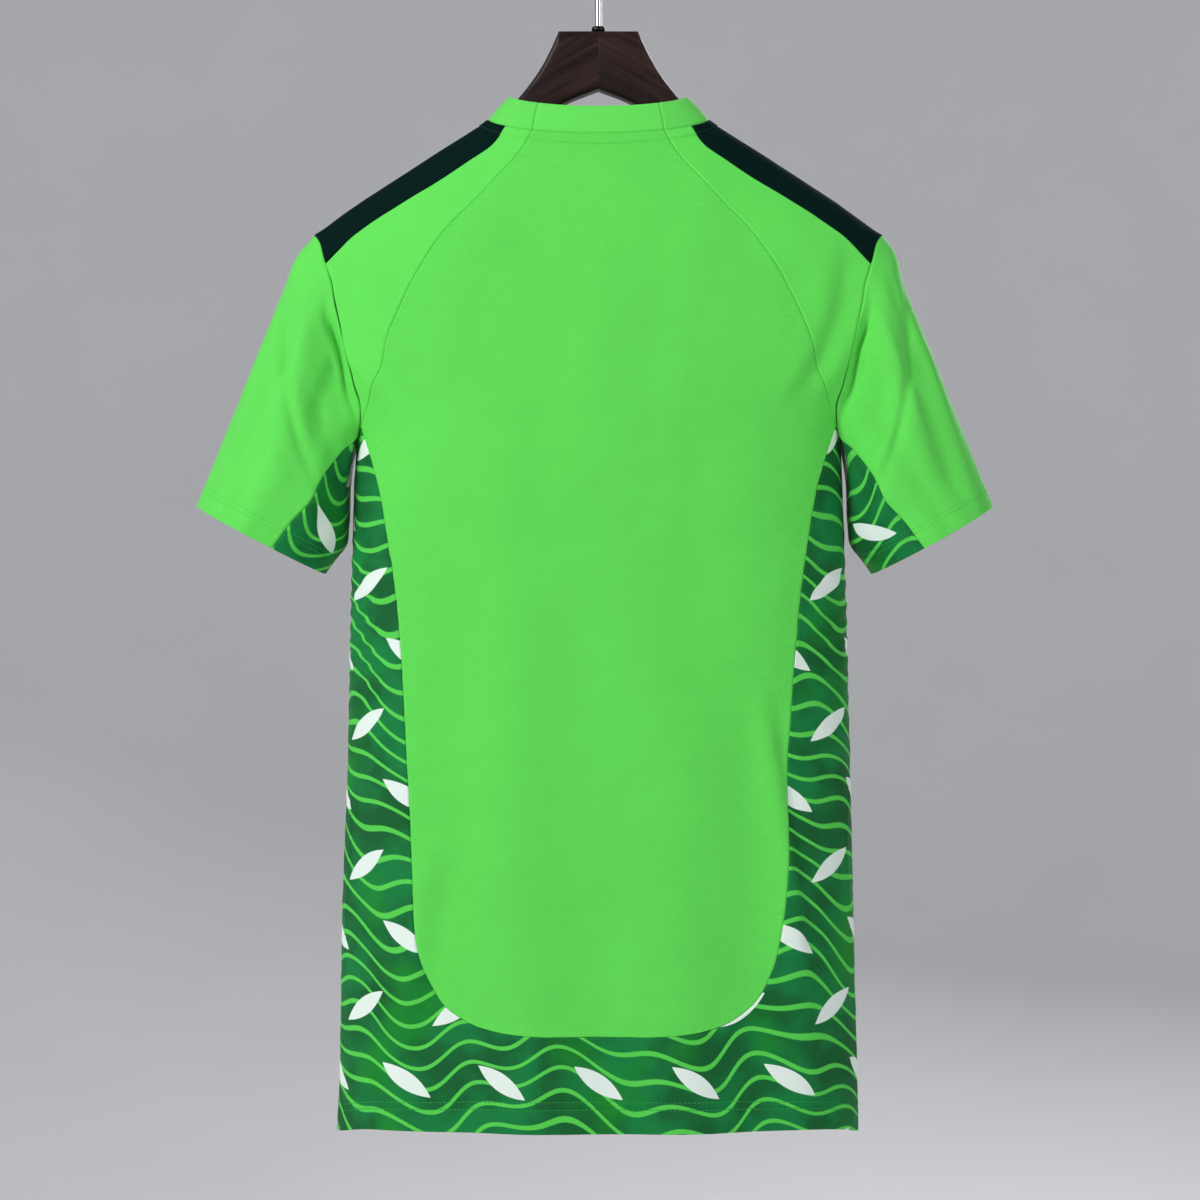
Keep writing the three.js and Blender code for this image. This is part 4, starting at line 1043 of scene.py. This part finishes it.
@dataclass
class Hanger:
    """The wooden hanger and its wire hook."""

    body: Body
    top_z: float = -75.0
    neck_half_width: float = 28.7
    neck_half_depth: float = 10.0
    arm_half_depth: float = 13.0
    arm_end: float = 198.0
    seat_start: float = 83.5
    end_round: float = 9.0
    gap: float = 1.75
    neck_power: float = 5.0
    arm_power: float = 2.15
    sides: int = 72
    groove: float = 0.12
    wire: float = 2.5
    hook_inside: float = 21.0
    hook_start: float = -78.0
    hook_end: float = 196.0
    # painted shade: a near-black ring at the wire's foot stands for the shade in the hole where the wire
    # enters the wood
    shade_ring: float = 5.0
    shade_ring_height: float = 3.5
    flank: dict = field(default_factory=lambda: table(
        "x z", (28.7, -75), (33, -85), (41, -100.7), (49, -112.5), (57.6, -123.2), (70, -136),
        (79.5, -144.5)))
    underside: dict = field(default_factory=lambda: table(
        "x z", (0, -117.4), (24.3, -127.3), (80, -176), (130, -205), (180, -233), (198, -239)))

    def top_level(self, x: Array) -> Array:
        """Level of the upper edge: flat on the neck, down its flanks, and under the shoulder ridge."""
        flank = Column(self.flank["x"], self.flank["z"])(x)
        seat = self.seat_level(x)
        shoulder = np.where(x < self.seat_start, np.minimum(flank, seat), seat)
        neck_point = self.body.neck.half_width
        return np.where(x <= self.neck_half_width, self.top_z, np.where(x < neck_point, flank, shoulder))

    def seat_level(self, x: Array) -> Array:
        """Level just under the cloth of the shoulder ridge, square to its slope."""
        ridge_x = self.body.half_width(RIDGE_LEVELS)
        ridge = np.interp(x, ridge_x, RIDGE_LEVELS)
        slope = (np.interp(x - 2, ridge_x, RIDGE_LEVELS) - np.interp(x + 2, ridge_x, RIDGE_LEVELS)) / 4
        return ridge - self.gap * np.hypot(1, slope)

    def wood(self) -> bpy.types.Object:
        """The wood: rounded sections across x from its underside to its top, with a mitre line at x = 0."""
        mitre, shoulder = np.array([0, 0.25, 0.6, 1.1, 2.2]), [28.3, 28.7, 29.1]
        tip = self.arm_end - np.array([9, 7, 5, 3, 1.5, 0])
        arm = np.arange(31, self.arm_end - 10, 3)
        half = np.concatenate([mitre, np.arange(4, 28, 2), shoulder, arm, tip])
        place = np.concatenate([-half[:0:-1], half])
        x = np.abs(place)
        full = mix(0.55, 1, smooth((self.arm_end + 2 - x) / self.end_round))
        shrink = (1 - full) * 6
        top = self.top_level(np.minimum(x, self.arm_end - self.end_round / 3)) - shrink
        bottom = Column(self.underside["x"], self.underside["z"])(x) + shrink
        to_arm = smooth((x - 45) / 35)
        depth = mix(self.neck_half_depth, self.arm_half_depth, to_arm) * full
        power = (2 / mix(self.neck_power, self.arm_power, to_arm))[:, None]
        turn = np.linspace(0, 2 * np.pi, self.sides, endpoint=False)
        cos, sin = np.cos(turn), np.sin(turn)
        up = (1 + np.sign(cos) * np.abs(cos) ** power) / 2
        cut = self.groove * np.exp(-((x / 0.45) ** 2))[:, None]
        y = (depth[:, None] - cut) * np.sign(sin) * np.abs(sin) ** power
        z = mix(bottom[:, None], top[:, None], up)
        x = np.broadcast_to(place[:, None], y.shape)
        return self.loft("hanger_wood_turned", np.stack([x, y, z], -1))

    def loft(self, name: str, rings: Array) -> bpy.types.Object:
        """Closed body through rings of points, its ends drawn in to a point.

        Args:
            name: The piece's name.
            rings: Rings of as many points each.

        Returns:
            The object.
        """
        tips = [ring.mean(0) + (ring - ring.mean(0)) * 0.02 for ring in (rings[0], rings[-1])]
        rings = np.concatenate([tips[:1], rings, tips[1:]])
        count = rings.shape[1]
        made = make_mesh(name, rings.reshape(-1, 3), grid_quads(len(rings), count, closed=True))
        merge = made.modifiers.new("close ends", "WELD")
        merge.merge_threshold = 0.00025 * MM
        return made

    def wire_path(self) -> tuple[Array, Array]:
        """Middle line of the wire and its radius: a straight stem, a bend, an arch and a rounded tip."""
        bow = self.hook_inside + self.wire
        foot = self.top_z + 0.45 + self.shade_ring_height * 0.4
        centre_z = -self.hook_inside
        turn = np.radians(np.linspace(self.hook_start, self.hook_end, 130))
        arch = np.stack([bow * np.cos(turn), centre_z + bow * np.sin(turn)], -1)
        t = np.linspace(0, 1, 26)[:, None]
        low, bend = np.array([0, centre_z - bow - 5]), np.array([0.2, centre_z - bow - 1.2])
        curve = (1 - t) ** 2 * low + 2 * t * (1 - t) * bend + t**2 * arch[0]
        stem = np.stack([np.zeros(20), np.linspace(foot, low[1], 20)], -1)
        path = np.concatenate([stem, curve[1:-1], arch])
        left = travelled(path, 0)[-1] - travelled(path, 0)
        tip = np.clip(self.wire - left, 0, None)
        return path, np.sqrt(np.maximum(self.wire**2 - tip**2, 0.01))

    def hook(self) -> bpy.types.Object:
        """The wire, a round section carried along its path in the plane of the hanger."""
        path, radius = self.wire_path()
        ahead = np.gradient(path, axis=0)
        ahead /= np.linalg.norm(ahead, axis=1, keepdims=True)
        turn = np.linspace(0, 2 * np.pi, 28, endpoint=False)
        aside = radius[:, None] * np.cos(turn)
        points = np.stack([path[:, :1] + ahead[:, 1:] * aside, radius[:, None] * np.sin(turn),
                           path[:, 1:] - ahead[:, :1] * aside], -1)
        return self.loft("hook_wire", points)

    def ring(self) -> bpy.types.Object:
        """A near-black ring at the wire's foot, painted shade for the hole where the wire enters the wood: a
        turned profile with rounded edges.
        """
        foot = self.top_z + 0.45
        tall, wide = self.shade_ring_height, self.shade_ring
        radius = np.array([wide * 0.2, wide - 0.6, wide - 0.15, wide, wide, wide - 0.2, wide - 0.8,
                           self.wire - 0.4])
        level = foot + tall * np.array([0, 0, 0.08, 0.25, 0.6, 0.82, 0.98, 1.0])
        turn = np.linspace(0, 2 * np.pi, 40, endpoint=False)
        around = np.stack([np.cos(turn), np.sin(turn), np.zeros(40)], -1)
        points = radius[:, None, None] * around + level[:, None, None] * [0, 0, 1]
        return self.loft("hook_shade_ring", points)


class Nodes:
    """A material being made: its shader and short ways to add nodes and link them."""

    def __init__(self, name: str, **shader: float) -> None:
        """Starts a material and sets constants on its shader.

        Args:
            name: The material's name.
            shader: Values of the shader's sockets, with _ for a space in their names.
        """
        self.material = bpy.data.materials.new(name)
        self.material.use_nodes = True
        self.tree = self.material.node_tree
        self.shader = next(n for n in self.tree.nodes if n.type == "BSDF_PRINCIPLED")
        for key, value in shader.items():
            self.shader.inputs[key.replace("_", " ")].default_value = value

    def add(self, kind: str, inputs: Optional[dict] = None, **settings: object) -> bpy.types.Node:
        """Adds a node, sets it, and fills its inputs with values or with other nodes' outputs."""
        node = self.tree.nodes.new("ShaderNode" + kind)
        for key, value in settings.items():
            setattr(node, key, value)
        for key, value in (inputs or {}).items():
            if isinstance(value, bpy.types.NodeSocket):
                self.tree.links.new(value, node.inputs[key])
            else:
                node.inputs[key].default_value = value
        return node

    def math(self, operation: str, *values: object) -> bpy.types.NodeSocket:
        """Result of one Math node."""
        return self.add("Math", dict(enumerate(values)), operation=operation).outputs[0]

    def sum(self, *values: object) -> bpy.types.NodeSocket:
        """Sum of several values."""
        total = values[0]
        for value in values[1:]:
            total = self.math("ADD", total, value)
        return total

    def step(self, value: object, low: float, high: float) -> bpy.types.NodeSocket:
        """Soft step from 0 at low to 1 at high."""
        inputs = {"Value": value, "From Min": low, "From Max": high}
        return self.add("MapRange", inputs, interpolation_type="SMOOTHSTEP").outputs["Result"]

    def mix(self, share: object, a: object, b: object) -> bpy.types.NodeSocket:
        """Blend of two colours."""
        return self.add("Mix", {0: share, 6: a, 7: b}, data_type="RGBA").outputs[2]

    def noise(self, place: object, scale: float, detail: float = 2.0) -> bpy.types.NodeSocket:
        """Soft noise around a half."""
        inputs = {"Vector": place, "Scale": scale, "Detail": detail, "Roughness": 0.5}
        return self.add("TexNoise", inputs).outputs["Fac"]

    def finish(self, colour: object, bump: object = None, distance: float = 0.0002,
               roughness: object = None) -> bpy.types.Material:
        """Links the colour, relief and roughness to the shader and returns the material."""
        self.tree.links.new(colour, self.shader.inputs["Base Color"])
        if bump is not None:
            relief = self.add("Bump", {"Height": bump, "Distance": distance, "Strength": 1.0})
            self.tree.links.new(relief.outputs[0], self.shader.inputs["Normal"])
        if roughness is not None:
            self.tree.links.new(roughness, self.shader.inputs["Roughness"])
        return self.material


def rgb(red: float, green: float, blue: float) -> tuple[float, float, float, float]:
    """A screen colour from 0 to 255 as the linear colour that a shader takes."""
    part = np.array([red, green, blue]) / 255
    linear = np.where(part <= 0.04045, part / 12.92, ((part + 0.055) / 1.055) ** 2.4)
    return (*linear.tolist(), 1.0)


@dataclass(frozen=True)
class Knit:
    """A polyester knit: its colour, its repeat across and down in metres, and the painted shade in its
    loops' openings.
    """

    name: str
    colour: tuple[float, float, float, float]
    wale: float
    course: float
    # how much painted shade darkens the loops' openings
    open: float
    depth: float
    roughness: float = 0.62
    sheen: float = 0.1
    specular: float = 0.3

    def start(self) -> tuple[Nodes, bpy.types.NodeSocket, bpy.types.NodeSocket, bpy.types.NodeSocket]:
        """The shader, the cloth coordinates and the height of the loops.

        The loops are the product of two sines, one across the wales and one down the courses.
        """
        made = Nodes(self.name, Roughness=self.roughness, Sheen_Weight=self.sheen, Sheen_Roughness=0.4,
                     Specular_IOR_Level=self.specular)
        cloth = made.add("UVMap", uv_map="cloth").outputs[0]
        parts = made.add("SeparateXYZ", {0: cloth})
        across = made.math("SINE", made.math("MULTIPLY", parts.outputs[0], 2 * np.pi / self.wale))
        down = made.math("SINE", made.math("MULTIPLY", parts.outputs[1], 2 * np.pi / self.course))
        return made, cloth, parts, made.math("MULTIPLY", across, down)

    def dress(self, made: Nodes, cloth: object, loops: object, colour: object) -> bpy.types.Material:
        """Darkens the loops' openings with painted shade, adds the yarn's slight unevenness and finishes the
        material.
        """
        # painted shade: the loops' openings are darkened as if shade fell in them
        opening = made.math("MULTIPLY", made.step(loops, 0.1, 0.95), self.open)
        uneven = made.math("MULTIPLY", made.math("SUBTRACT", made.noise(cloth, 18.0, 3.0), 0.5), 0.10)
        yarn = made.math("MULTIPLY", made.math("SUBTRACT", made.noise(cloth, 900.0, 1.0), 0.5), 0.10)
        light = made.math("SUBTRACT", made.sum(uneven, yarn, 1.0), opening)
        tinted = made.add("VectorMath", {0: colour, "Scale": light}, operation="SCALE").outputs[0]
        height = made.sum(loops, made.math("MULTIPLY", made.noise(cloth, 900.0, 1.0), 0.8))
        return made.finish(tinted, height, self.depth)

    def material(self) -> bpy.types.Material:
        """The knit in one colour."""
        made, cloth, _, loops = self.start()
        colour = made.add("RGB")
        colour.outputs[0].default_value = self.colour
        return self.dress(made, cloth, loops, colour.outputs[0])


@dataclass(frozen=True)
class Print(Knit):
    """The printed knit: mottled greens, sets of light green waves, and pale leaves in staggered rows.

    Sizes are in metres of cloth.
    """

    deep: tuple = rgb(0, 92, 40)
    mid: tuple = rgb(0, 122, 58)
    warm: tuple = rgb(8, 138, 32)
    line: tuple = rgb(82, 205, 76)
    pale: tuple = rgb(226, 240, 231)
    wave_gap: float = 0.0168
    wave_width: float = 0.0032
    slow_wave: float = 0.17
    short_wave: float = 0.067
    wave_tilt: float = 0.21
    leaf_across: float = 0.068
    leaf_down: float = 0.05
    leaf_length: float = 0.021
    leaf_width: float = 0.0062
    leaf_lean: float = 0.6

    def waves(self, made: Nodes, cloth: object, parts: bpy.types.Node) -> bpy.types.NodeSocket:
        """Light lines: levels of two slow waves and a soft noise, at even distances down the cloth."""
        across, down = parts.outputs[0], parts.outputs[1]
        slow = made.math("SINE", made.math("MULTIPLY", across, 2 * np.pi / self.slow_wave))
        tilt = made.sum(made.math("MULTIPLY", across, 2 * np.pi / self.short_wave),
                        made.math("MULTIPLY", down, 2 * np.pi / self.wave_tilt))
        field_at = made.sum(made.math("DIVIDE", down, self.wave_gap), made.math("MULTIPLY", slow, 0.8),
                            made.math("MULTIPLY", made.math("SINE", tilt), 0.35),
                            made.math("MULTIPLY", made.noise(cloth, 9.0, 1.0), 2.4))
        off = made.math("ABSOLUTE", made.math("SUBTRACT", made.math("FRACT", field_at), 0.5))
        half = self.wave_width / self.wave_gap / 2
        return made.math("SUBTRACT", 1.0, made.step(off, half - 0.02, half + 0.02))

    def leaves(self, made: Nodes, parts: bpy.types.Node) -> bpy.types.NodeSocket:
        """Pale leaves in staggered rows: inside where |y| < w (1 - (x / l)^2), leaning by turns."""
        down = made.math("DIVIDE", parts.outputs[1], self.leaf_down)
        row = made.math("FLOOR", down)
        odd = made.math("MULTIPLY", made.math("FLOORED_MODULO", row, 2.0), 0.5)
        across = made.math("ADD", made.math("DIVIDE", parts.outputs[0], self.leaf_across), odd)
        x = made.math("MULTIPLY", made.math("SUBTRACT", made.math("FRACT", across), 0.5), self.leaf_across)
        y = made.math("MULTIPLY", made.math("SUBTRACT", made.math("FRACT", down), 0.5), self.leaf_down)
        lean = made.math("SUBTRACT", made.math("MULTIPLY", odd, 4 * self.leaf_lean), self.leaf_lean)
        cos, sin = made.math("COSINE", lean), made.math("SINE", lean)
        long = made.math("SUBTRACT", made.math("MULTIPLY", x, cos), made.math("MULTIPLY", y, sin))
        wide = made.math("ADD", made.math("MULTIPLY", x, sin), made.math("MULTIPLY", y, cos))
        reach = made.math("ABSOLUTE", made.math("DIVIDE", long, self.leaf_length))
        round_off = made.math("POWER", reach, 2.0)
        room = made.math("MULTIPLY", made.math("SUBTRACT", 1.0, round_off), self.leaf_width)
        return made.step(made.math("SUBTRACT", room, made.math("ABSOLUTE", wide)), 0.0, 0.0003)

    def material(self) -> bpy.types.Material:
        """The print on its knit."""
        made, cloth, parts, loops = self.start()
        shade = made.step(made.noise(cloth, 24.0, 3.0), 0.38, 0.62)
        shifted = made.add("VectorMath", {0: cloth, 1: (3.1, 1.7, 0)}).outputs[0]
        warmth = made.step(made.noise(shifted, 13.0), 0.5, 0.7)
        cool = made.mix(shade, self.deep, self.mid)
        ground = made.mix(made.math("MULTIPLY", warmth, 0.8), cool, self.warm)
        ground = made.mix(self.waves(made, cloth, parts), ground, self.line)
        return self.dress(made, cloth, loops, made.mix(self.leaves(made, parts), ground, self.pale))


@dataclass(frozen=True)
class Wood:
    """Espresso stained hardwood in two mitred halves, its grain running down each arm from the middle."""

    deep: tuple = rgb(27, 15, 15)
    streak: tuple = rgb(50, 28, 27)
    grain_slope: float = 0.52
    along_scale: float = 9.0
    across_scale: float = 120.0
    depth_scale: float = 60.0

    def material(self) -> bpy.types.Material:
        """Fine streaks of stretched noise along the arm, under a satin lacquer."""
        made = Nodes("espresso wood", Roughness=0.5, Specular_IOR_Level=0.22)
        parts = made.add("SeparateXYZ", {0: made.add("TexCoord").outputs["Object"]})
        x = made.math("ABSOLUTE", parts.outputs[0])
        cos, sin = float(np.cos(self.grain_slope)), float(np.sin(self.grain_slope))
        z = parts.outputs[2]
        along = made.math("SUBTRACT", made.math("MULTIPLY", x, cos), made.math("MULTIPLY", z, sin))
        across = made.math("ADD", made.math("MULTIPLY", x, sin), made.math("MULTIPLY", z, cos))
        other = made.math("SIGN", parts.outputs[0])
        depth = made.sum(made.math("MULTIPLY", parts.outputs[1], self.depth_scale), other)
        stretched = {0: made.math("MULTIPLY", along, self.along_scale),
                     1: made.math("MULTIPLY", across, self.across_scale), 2: depth}
        place = made.add("CombineXYZ", stretched).outputs[0]
        fine = made.noise(place, 2.2, 6.0)
        broad = made.noise(place, 0.45, 3.0)
        grain = made.math("ADD", made.math("MULTIPLY", fine, 0.6), made.math("MULTIPLY", broad, 0.4))
        share = made.step(grain, 0.4, 0.66)
        height = made.math("ADD", fine, broad)
        return made.finish(made.mix(share, self.deep, self.streak), height, 0.00012,
                           made.step(fine, -0.6, 1.9))


@dataclass(frozen=True)
class Metal:
    """Polished wire, or near-black metal standing in as painted shade."""

    name: str
    colour: tuple
    roughness: float

    def material(self) -> bpy.types.Material:
        """Metal with faint drawing marks along the wire."""
        made = Nodes(self.name, Metallic=1.0)
        place = made.add("TexCoord").outputs["Object"]
        marks = made.noise(place, 900.0, 2.0)
        shade = made.step(marks, 0.2, 0.8)
        dim = tuple(0.88 * part for part in self.colour[:3]) + (1.0,)
        rough = made.math("ADD", made.math("MULTIPLY", marks, 0.06), self.roughness)
        return made.finish(made.mix(shade, dim, self.colour), marks, 0.00001, rough)


@dataclass(frozen=True)
class Plain:
    """A thread or the floor: one colour with a slight noise."""

    name: str
    colour: tuple
    scale: float
    roughness: float = 0.7

    def material(self) -> bpy.types.Material:
        """The colour, a little uneven."""
        made = Nodes(self.name, Roughness=self.roughness)
        noise = made.noise(made.add("TexCoord").outputs["Object"], self.scale, 2.0)
        dim = tuple(0.93 * part for part in self.colour[:3]) + (1.0,)
        return made.finish(made.mix(noise, dim, self.colour))


@dataclass
class Studio:
    """Pale floor that curves up round the object, soft lights, and a camera at the photograph's angle."""

    camera_distance: float = 1.9
    camera_x: float = 0.0011
    camera_z: float = -0.4864
    frame_side: float = 0.87
    floor_z: float = -1.5
    floor_flat: float = 2.3
    floor_curve: float = 2.2
    wall_top: float = 2.6

    def floor(self) -> bpy.types.Object:
        """The floor: a profile turned round the vertical, flat, then a quarter circle, then a wall."""
        arc = np.linspace(0, np.pi / 2, 24)
        radius = np.concatenate([[0.02], np.linspace(0.3, self.floor_flat, 8),
                                 self.floor_flat + self.floor_curve * np.sin(arc[1:]),
                                 [self.floor_flat + self.floor_curve]])
        level = np.concatenate([np.zeros(9), self.floor_curve * (1 - np.cos(arc[1:])),
                                [self.wall_top - self.floor_z]])
        turn = np.linspace(0, 2 * np.pi, 96, endpoint=False)
        around = np.stack([np.cos(turn), np.sin(turn), np.zeros(96)], -1)
        points = radius[:, None, None] * around + (level + self.floor_z)[:, None, None] * [0, 0, 1]
        quads = grid_quads(len(radius), 96, closed=True)
        made = make_mesh("studio_floor", points.reshape(-1, 3) / MM, quads)
        made.data.materials.append(Plain("pale floor", rgb(222, 222, 224), 3.0, 0.9).material())
        return made

    def lamp(self, name: str, place: tuple, target: tuple, side: float, power: float) -> None:
        """A square soft light aimed at a point."""
        data = bpy.data.lights.new(name, "AREA")
        data.shape, data.size, data.energy = "SQUARE", side, power
        lamp = bpy.data.objects.new(name, data)
        lamp.location = place
        lamp.rotation_euler = (Vector(target) - Vector(place)).to_track_quat("-Z", "Y").to_euler()
        lamp.visible_camera = False
        bpy.context.scene.collection.objects.link(lamp)

    def lights(self) -> None:
        """A soft key high on the left, a weak fill on the right, a light behind, and a pale surround."""
        self.lamp("key", (-2.2, -1.9, 0.95), (0, 0, -0.45), 0.9, 82)
        self.lamp("fill", (2.1, -2.0, 0.5), (0, 0, -0.45), 1.2, 24)
        self.lamp("rear", (0.9, 2.5, 0.6), (0, 0, -0.4), 1.6, 40)
        world = bpy.data.worlds.new("surround")
        world.use_nodes = True
        world.node_tree.nodes["Background"].inputs[0].default_value = (0.95, 0.97, 1.0, 1)
        world.node_tree.nodes["Background"].inputs[1].default_value = 0.26
        bpy.context.scene.world = world

    def camera(self) -> None:
        """A level camera square to the back, framed as the photograph is."""
        data = bpy.data.cameras.new("camera")
        data.sensor_width = 36.0
        data.lens = data.sensor_width * self.camera_distance / self.frame_side
        camera = bpy.data.objects.new("camera", data)
        camera.location = (self.camera_x, -self.camera_distance, self.camera_z)
        camera.rotation_euler = (np.pi / 2, 0, 0)
        bpy.context.scene.collection.objects.link(camera)
        bpy.context.scene.camera = camera


@dataclass
class Wardrobe:
    """Makes, dresses and reports each piece."""

    finishes: dict[Slot, bpy.types.Material] = field(default_factory=dict)
    threads: dict[str, bpy.types.Material] = field(default_factory=dict)

    def __post_init__(self) -> None:
        """Makes the finishes."""
        green = rgb(93, 220, 82)
        printed = Print("printed knit", rgb(0, 120, 56), 0.0011, 0.0009, 0.05, 0.0001, sheen=0.04,
                        specular=0.2)
        band = Knit("green band knit", rgb(97, 224, 86), 0.0014, 0.0008, 0.05, 0.00012)
        bottle = Knit("bottle green knit", rgb(1, 28, 25), 0.0011, 0.0009, 0.1, 0.0001, 0.8, 0.0, 0.05)
        self.finishes = {
            Slot.GREEN_MESH: Knit("green micro mesh", green, 0.0019, 0.0017, 0.16, 0.00022).material(),
            Slot.GREEN_KNIT: Knit("green interlock", green, 0.0011, 0.0009, 0.05, 0.0001).material(),
            Slot.COLLAR_KNIT: band.material(),
            Slot.PRINTED_KNIT: printed.material(),
            Slot.STRIPE_KNIT: bottle.material(),
            Slot.DARK_WOOD: Wood().material(),
            Slot.HOOK_CHROME: Metal("polished wire", (0.5, 0.5, 0.52, 1.0), 0.16).material(),
        }
        self.threads = {
            "bright": Plain("green thread", rgb(86, 212, 76), 600.0).material(),
            "dark": Plain("dark green thread", rgb(30, 150, 60), 600.0).material(),
            "bottle": Plain("bottle green thread", rgb(6, 38, 32), 600.0).material(),
            # painted shade: near-black metal for the ring at the hook's foot, standing for the shade in the
            # hole
            "shade_ring": Metal("painted hole shade", (0.02, 0.02, 0.022, 1.0), 0.35).material(),
        }

    def keep(self, piece: bpy.types.Object, slot: Slot, node: Optional[str] = None,
             other: Optional[str] = None) -> bpy.types.Object:
        """Dresses a piece, makes it ride on the part and stand for its node."""
        piece.data.materials.append(self.threads[other] if other else self.finishes[slot])
        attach(piece, "root")
        if node:
            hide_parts(node)
        log.info("%s: %d faces", piece.name, len(piece.data.polygons))
        return piece


def sew_trunk(body: Body, wardrobe: Wardrobe) -> None:
    """Makes the trunk's pieces, with the stitches of its neck and hem."""
    neck, stripe = Sewing("neck_stitching", "bright"), Sewing("neck_stitching_stripes", "bottle")
    hems = {Face.BACK: Sewing("hem_stitching_back", "dark"),
            Face.FRONT: Sewing("hem_stitching_front", "dark")}
    for piece in Trunk(body).pieces():
        laid = piece.lay(body)
        made = wardrobe.keep(laid.shell(piece.name), piece.slot, piece.name.removesuffix("_cloth"))
        outer, _ = laid.faces()
        if piece.first is Edge.NECK:
            sewn = stripe if piece.slot is Slot.STRIPE_KNIT else neck
            sewn.add(outer, laid.centre, laid.edges[1][1], Edge.NECK)
        if piece.last is Edge.HEM:
            hems[Face.FRONT].add(outer[::-1], laid.centre[::-1], laid.edges[2][1][::-1], Edge.HEM)
        if piece.side_b is Edge.HEM:
            on_hem = laid.edges[3][1][:, -1] < FAR
            turned = [np.swapaxes(a[on_hem][:, ::-1], 0, 1) for a in (outer, laid.centre, laid.edges[3][1])]
            hems[Face.BACK].add(*turned, Edge.HEM)
    for sewing, slot in ((neck, Slot.GREEN_KNIT), (stripe, Slot.STRIPE_KNIT),
                         (hems[Face.BACK], Slot.PRINTED_KNIT), (hems[Face.FRONT], Slot.PRINTED_KNIT)):
        wardrobe.keep(sewing.build(), slot, other=sewing.finish)


def sew_sleeves(body: Body, wardrobe: Wardrobe) -> None:
    """Makes both sleeves and their printed gussets, with the stitches of their cuffs."""
    edge = Column(GUSSET_EDGE["at"], GUSSET_EDGE["turn"])

    def gusset(at: Array) -> Array:
        return np.radians(edge(at))

    pieces = [
        SleevePiece("sleeve", Slot.GREEN_KNIT, (0.28, 0.23), 0.0383, lambda at: -gusset(at), gusset),
        SleevePiece("sleeve_gusset", Slot.PRINTED_KNIT, (0.115, 0.12), 0.0075, gusset,
                    lambda at: 2 * np.pi - gusset(at)),
    ]
    for side, name, narrower in ((-1, "left", 0.0), (1, "right", RIGHT_SLEEVE_NARROWER)):
        sleeve = Sleeve(body, narrower)
        cuffs = {piece.name: Sewing(f"{piece.name}_{name}_stitching", finish)
                 for piece, finish in zip(pieces, ("bright", "dark"))}
        for piece in pieces:
            laid = piece.lay(sleeve)
            node = f"{piece.name}_{name}"
            made = wardrobe.keep(laid.shell(node + "_cloth", side), piece.slot, node)
            outer, _ = laid.faces()
            cuffs[piece.name].add(outer[::-1], laid.centre[::-1], laid.edges[3][1][::-1], Edge.CUFF, side)
            wardrobe.keep(cuffs[piece.name].build(), piece.slot, other=cuffs[piece.name].finish)


def sew_neck_band(body: Body, wardrobe: Wardrobe) -> None:
    """Makes the two stretches of the neck band."""
    join = body.neck_angle(BACK_RAGLAN["x"][0])
    bands = [
        NeckBand("collar_back", (0.10, 0.021), 0.0017, -join, join, body),
        NeckBand("collar_front", (0.38, 0.0235), 0.0078, join, 2 * np.pi - join, body),
    ]
    for band in bands:
        made = wardrobe.keep(band.lay().shell(band.name + "_cloth"), Slot.COLLAR_KNIT, band.name)


def make_hanger(body: Body, wardrobe: Wardrobe) -> None:
    """Makes the hanger's wood, its hook, and the dark ring of painted shade at the hook's foot."""
    hanger = Hanger(body)
    wardrobe.keep(hanger.wood(), Slot.DARK_WOOD, "hanger_wood")
    wardrobe.keep(hanger.hook(), Slot.HOOK_CHROME, "hanger_hook")
    # the ring at the hook's foot is painted shade for the hole the wire enters
    wardrobe.keep(hanger.ring(), Slot.HOOK_CHROME, other="shade_ring")


def main() -> None:
    """Builds the garment, its hanger and the studio."""
    logging.basicConfig(level=logging.INFO, format="%(name)s: %(message)s")
    body = Body()
    wardrobe = Wardrobe()
    sew_trunk(body, wardrobe)
    sew_sleeves(body, wardrobe)
    sew_neck_band(body, wardrobe)
    make_hanger(body, wardrobe)
    studio = Studio()
    studio.floor()
    studio.lights()
    studio.camera()
    bpy.context.scene.view_settings.view_transform = "Standard"


if __name__ == "__main__":
    main()
